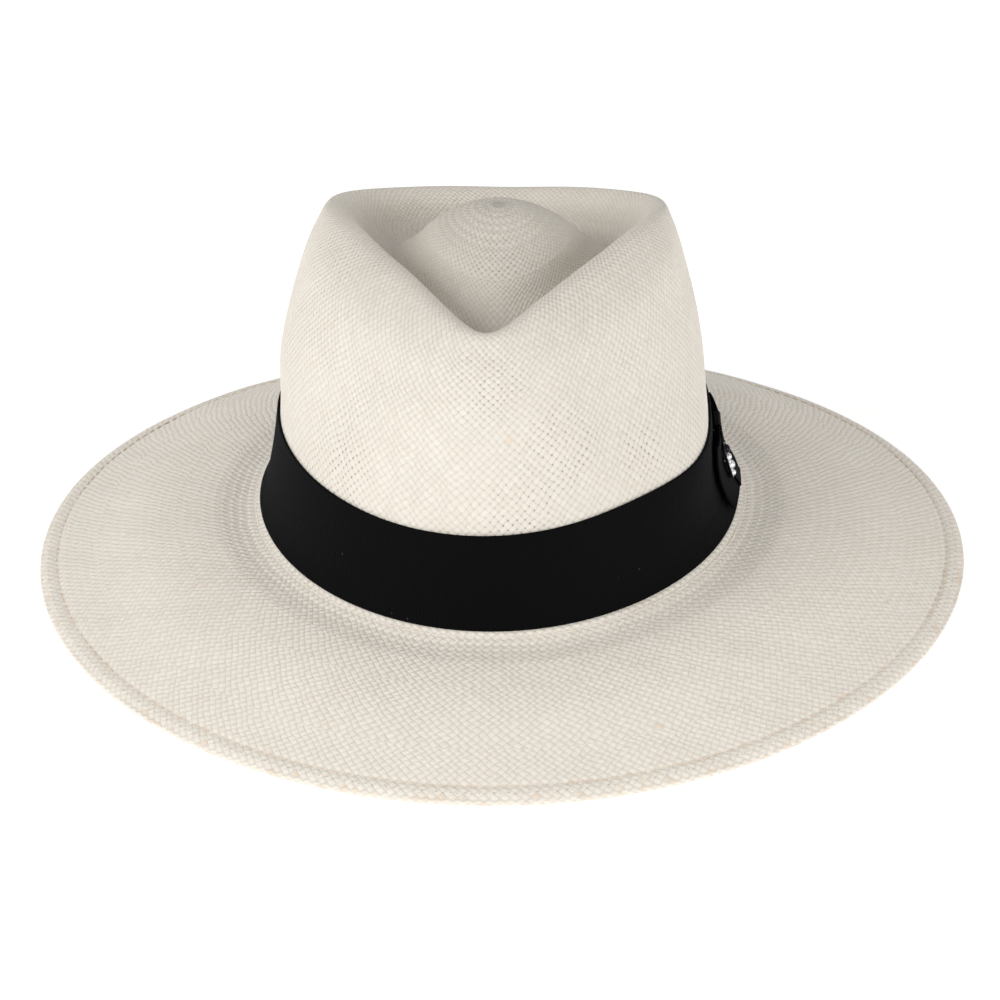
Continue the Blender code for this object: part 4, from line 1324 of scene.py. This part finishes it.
def make_stage():
    """A plain pale floor, and white walls far away that only the camera sees."""
    reach = BACKDROP_REACH
    corners = [(-reach, -reach), (reach, -reach), (reach, reach), (-reach, reach)]
    stage_plane("floor", [(x, y, 0.0) for x, y in corners], 0.9, FLOOR_GLOW)
    walls = []
    for (x, y), (next_x, next_y) in zip(corners, corners[1:] + corners[:1]):
        walls += [(x, y, 0.0), (next_x, next_y, 0.0), (next_x, next_y, reach), (x, y, reach)]
    backdrop = stage_plane("backdrop", walls, 0.0, 1.0)
    backdrop.visible_diffuse = False
    backdrop.visible_glossy = False
    backdrop.visible_transmission = False
    backdrop.visible_shadow = False


# ---------------------------------------------------------------- putting it together

def place_piece(piece, node=None, body="hat"):
    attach(piece, body)
    if node:
        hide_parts(node)
    return piece


def make_straw(straw, thread):
    """The brim, the crown, the hem's stitches and the knots beside the band."""
    brim = place_piece(make_brim(straw), "straw_body")
    crown = place_piece(make_crown(straw), "straw_body")
    under = -(HEM + GAP + THREAD_RADIUS)
    for name, lift, node in (("hem_stitches", HEM_STITCH_LIFT, "hem_thread"),
                             ("hem_bobbin_stitches", under, "hem_bobbin_thread")):
        stitches = make_stitches(name, HEM_WIDTH - HEM_SEAM_IN, lift, HEM_STITCH, THREAD_RADIUS, thread)
        place_piece(stitches, node)
    knots = make_stitches("junction_knots", BAND_LOW - KNOTS_BELOW, KNOT_LIFT, KNOT, KNOT_RADIUS, straw)
    place_piece(knots)
    return brim, crown


def make_ribbons():
    """The band and the bow."""
    ribbon = ribbon_material()
    band = place_piece(make_band(ribbon), "hat_band")
    loops = place_piece(make_bow_loops(ribbon), "bow_loops")
    tail = place_piece(make_bow_tail(ribbon), "bow_tail")
    wrap = place_piece(make_bow_wrap(ribbon), "bow_wrap")
    band_height = (BAND_HIGH - BAND_LOW) * MM


def make_pin_pieces():
    silver = metal_material("polished_silver", (0.90, 0.90, 0.91), 0.16, 700.0)
    steel = metal_material("plain_steel", (0.62, 0.62, 0.64), 0.30, 900.0)
    enamel = metal_material("black_enamel", (0.020, 0.020, 0.022), 0.22, 500.0)
    for piece in make_pin(silver, enamel):
        place_piece(piece, "pin_badge", "pin")
    for node in ("pin_post", "pin_clutch"):
        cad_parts[node].data.materials.clear()
        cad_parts[node].data.materials.append(steel)


def make_inside(thread):
    """The sweatband with its stitches, reed, tapes and label."""
    tape = cloth_material("cotton_tape", (0.050, 0.046, 0.044, 1.0), (0.012, 0.011, 0.010, 1.0), 0.7)
    paper = cloth_material("woven_label", (0.70, 0.67, 0.60, 1.0), (0.45, 0.42, 0.36, 1.0), 0.5)
    sweatband = place_piece(make_sweatband(leather_material()), "sweatband")
    stitches = make_stitches("sweatband_stitches", SWEATBAND_LOW + SEAM_RISE,
                             SWEATBAND_INSIDE - THREAD_RADIUS, SWEATBAND_STITCH, THREAD_RADIUS, thread)
    place_piece(stitches, "sweatband_thread")
    place_piece(make_reed_tape(tape), "reed_tape")
    place_piece(make_reed(reed_material()), "sweatband_reed")
    seam = make_inside_patch("sweatband_seam_cotton", SEAM_AT, SEAM_HALF_WIDTH, *SEAM_HEIGHTS, tape)
    place_piece(seam, "sweatband_seam_tape")
    size = make_inside_patch("size_label_woven", LABEL_AT, LABEL_HALF_WIDTH, *LABEL_HEIGHTS, paper)
    place_piece(size, "size_label")
    for piece, heights, half_width in ((seam, SEAM_HEIGHTS, SEAM_HALF_WIDTH),
                                       (size, LABEL_HEIGHTS, LABEL_HALF_WIDTH)):
        (heights[1] - heights[0]) * MM
        2.0 * half_width * MM


def main():
    make_camera()
    make_lights()
    make_stage()
    thread = thread_material("hem_cotton", (0.86, 0.78, 0.68, 1.0), (0.66, 0.54, 0.42, 1.0))
    brim, crown = make_straw(straw_material(), thread)
    make_ribbons()
    make_pin_pieces()
    make_inside(thread)


main()
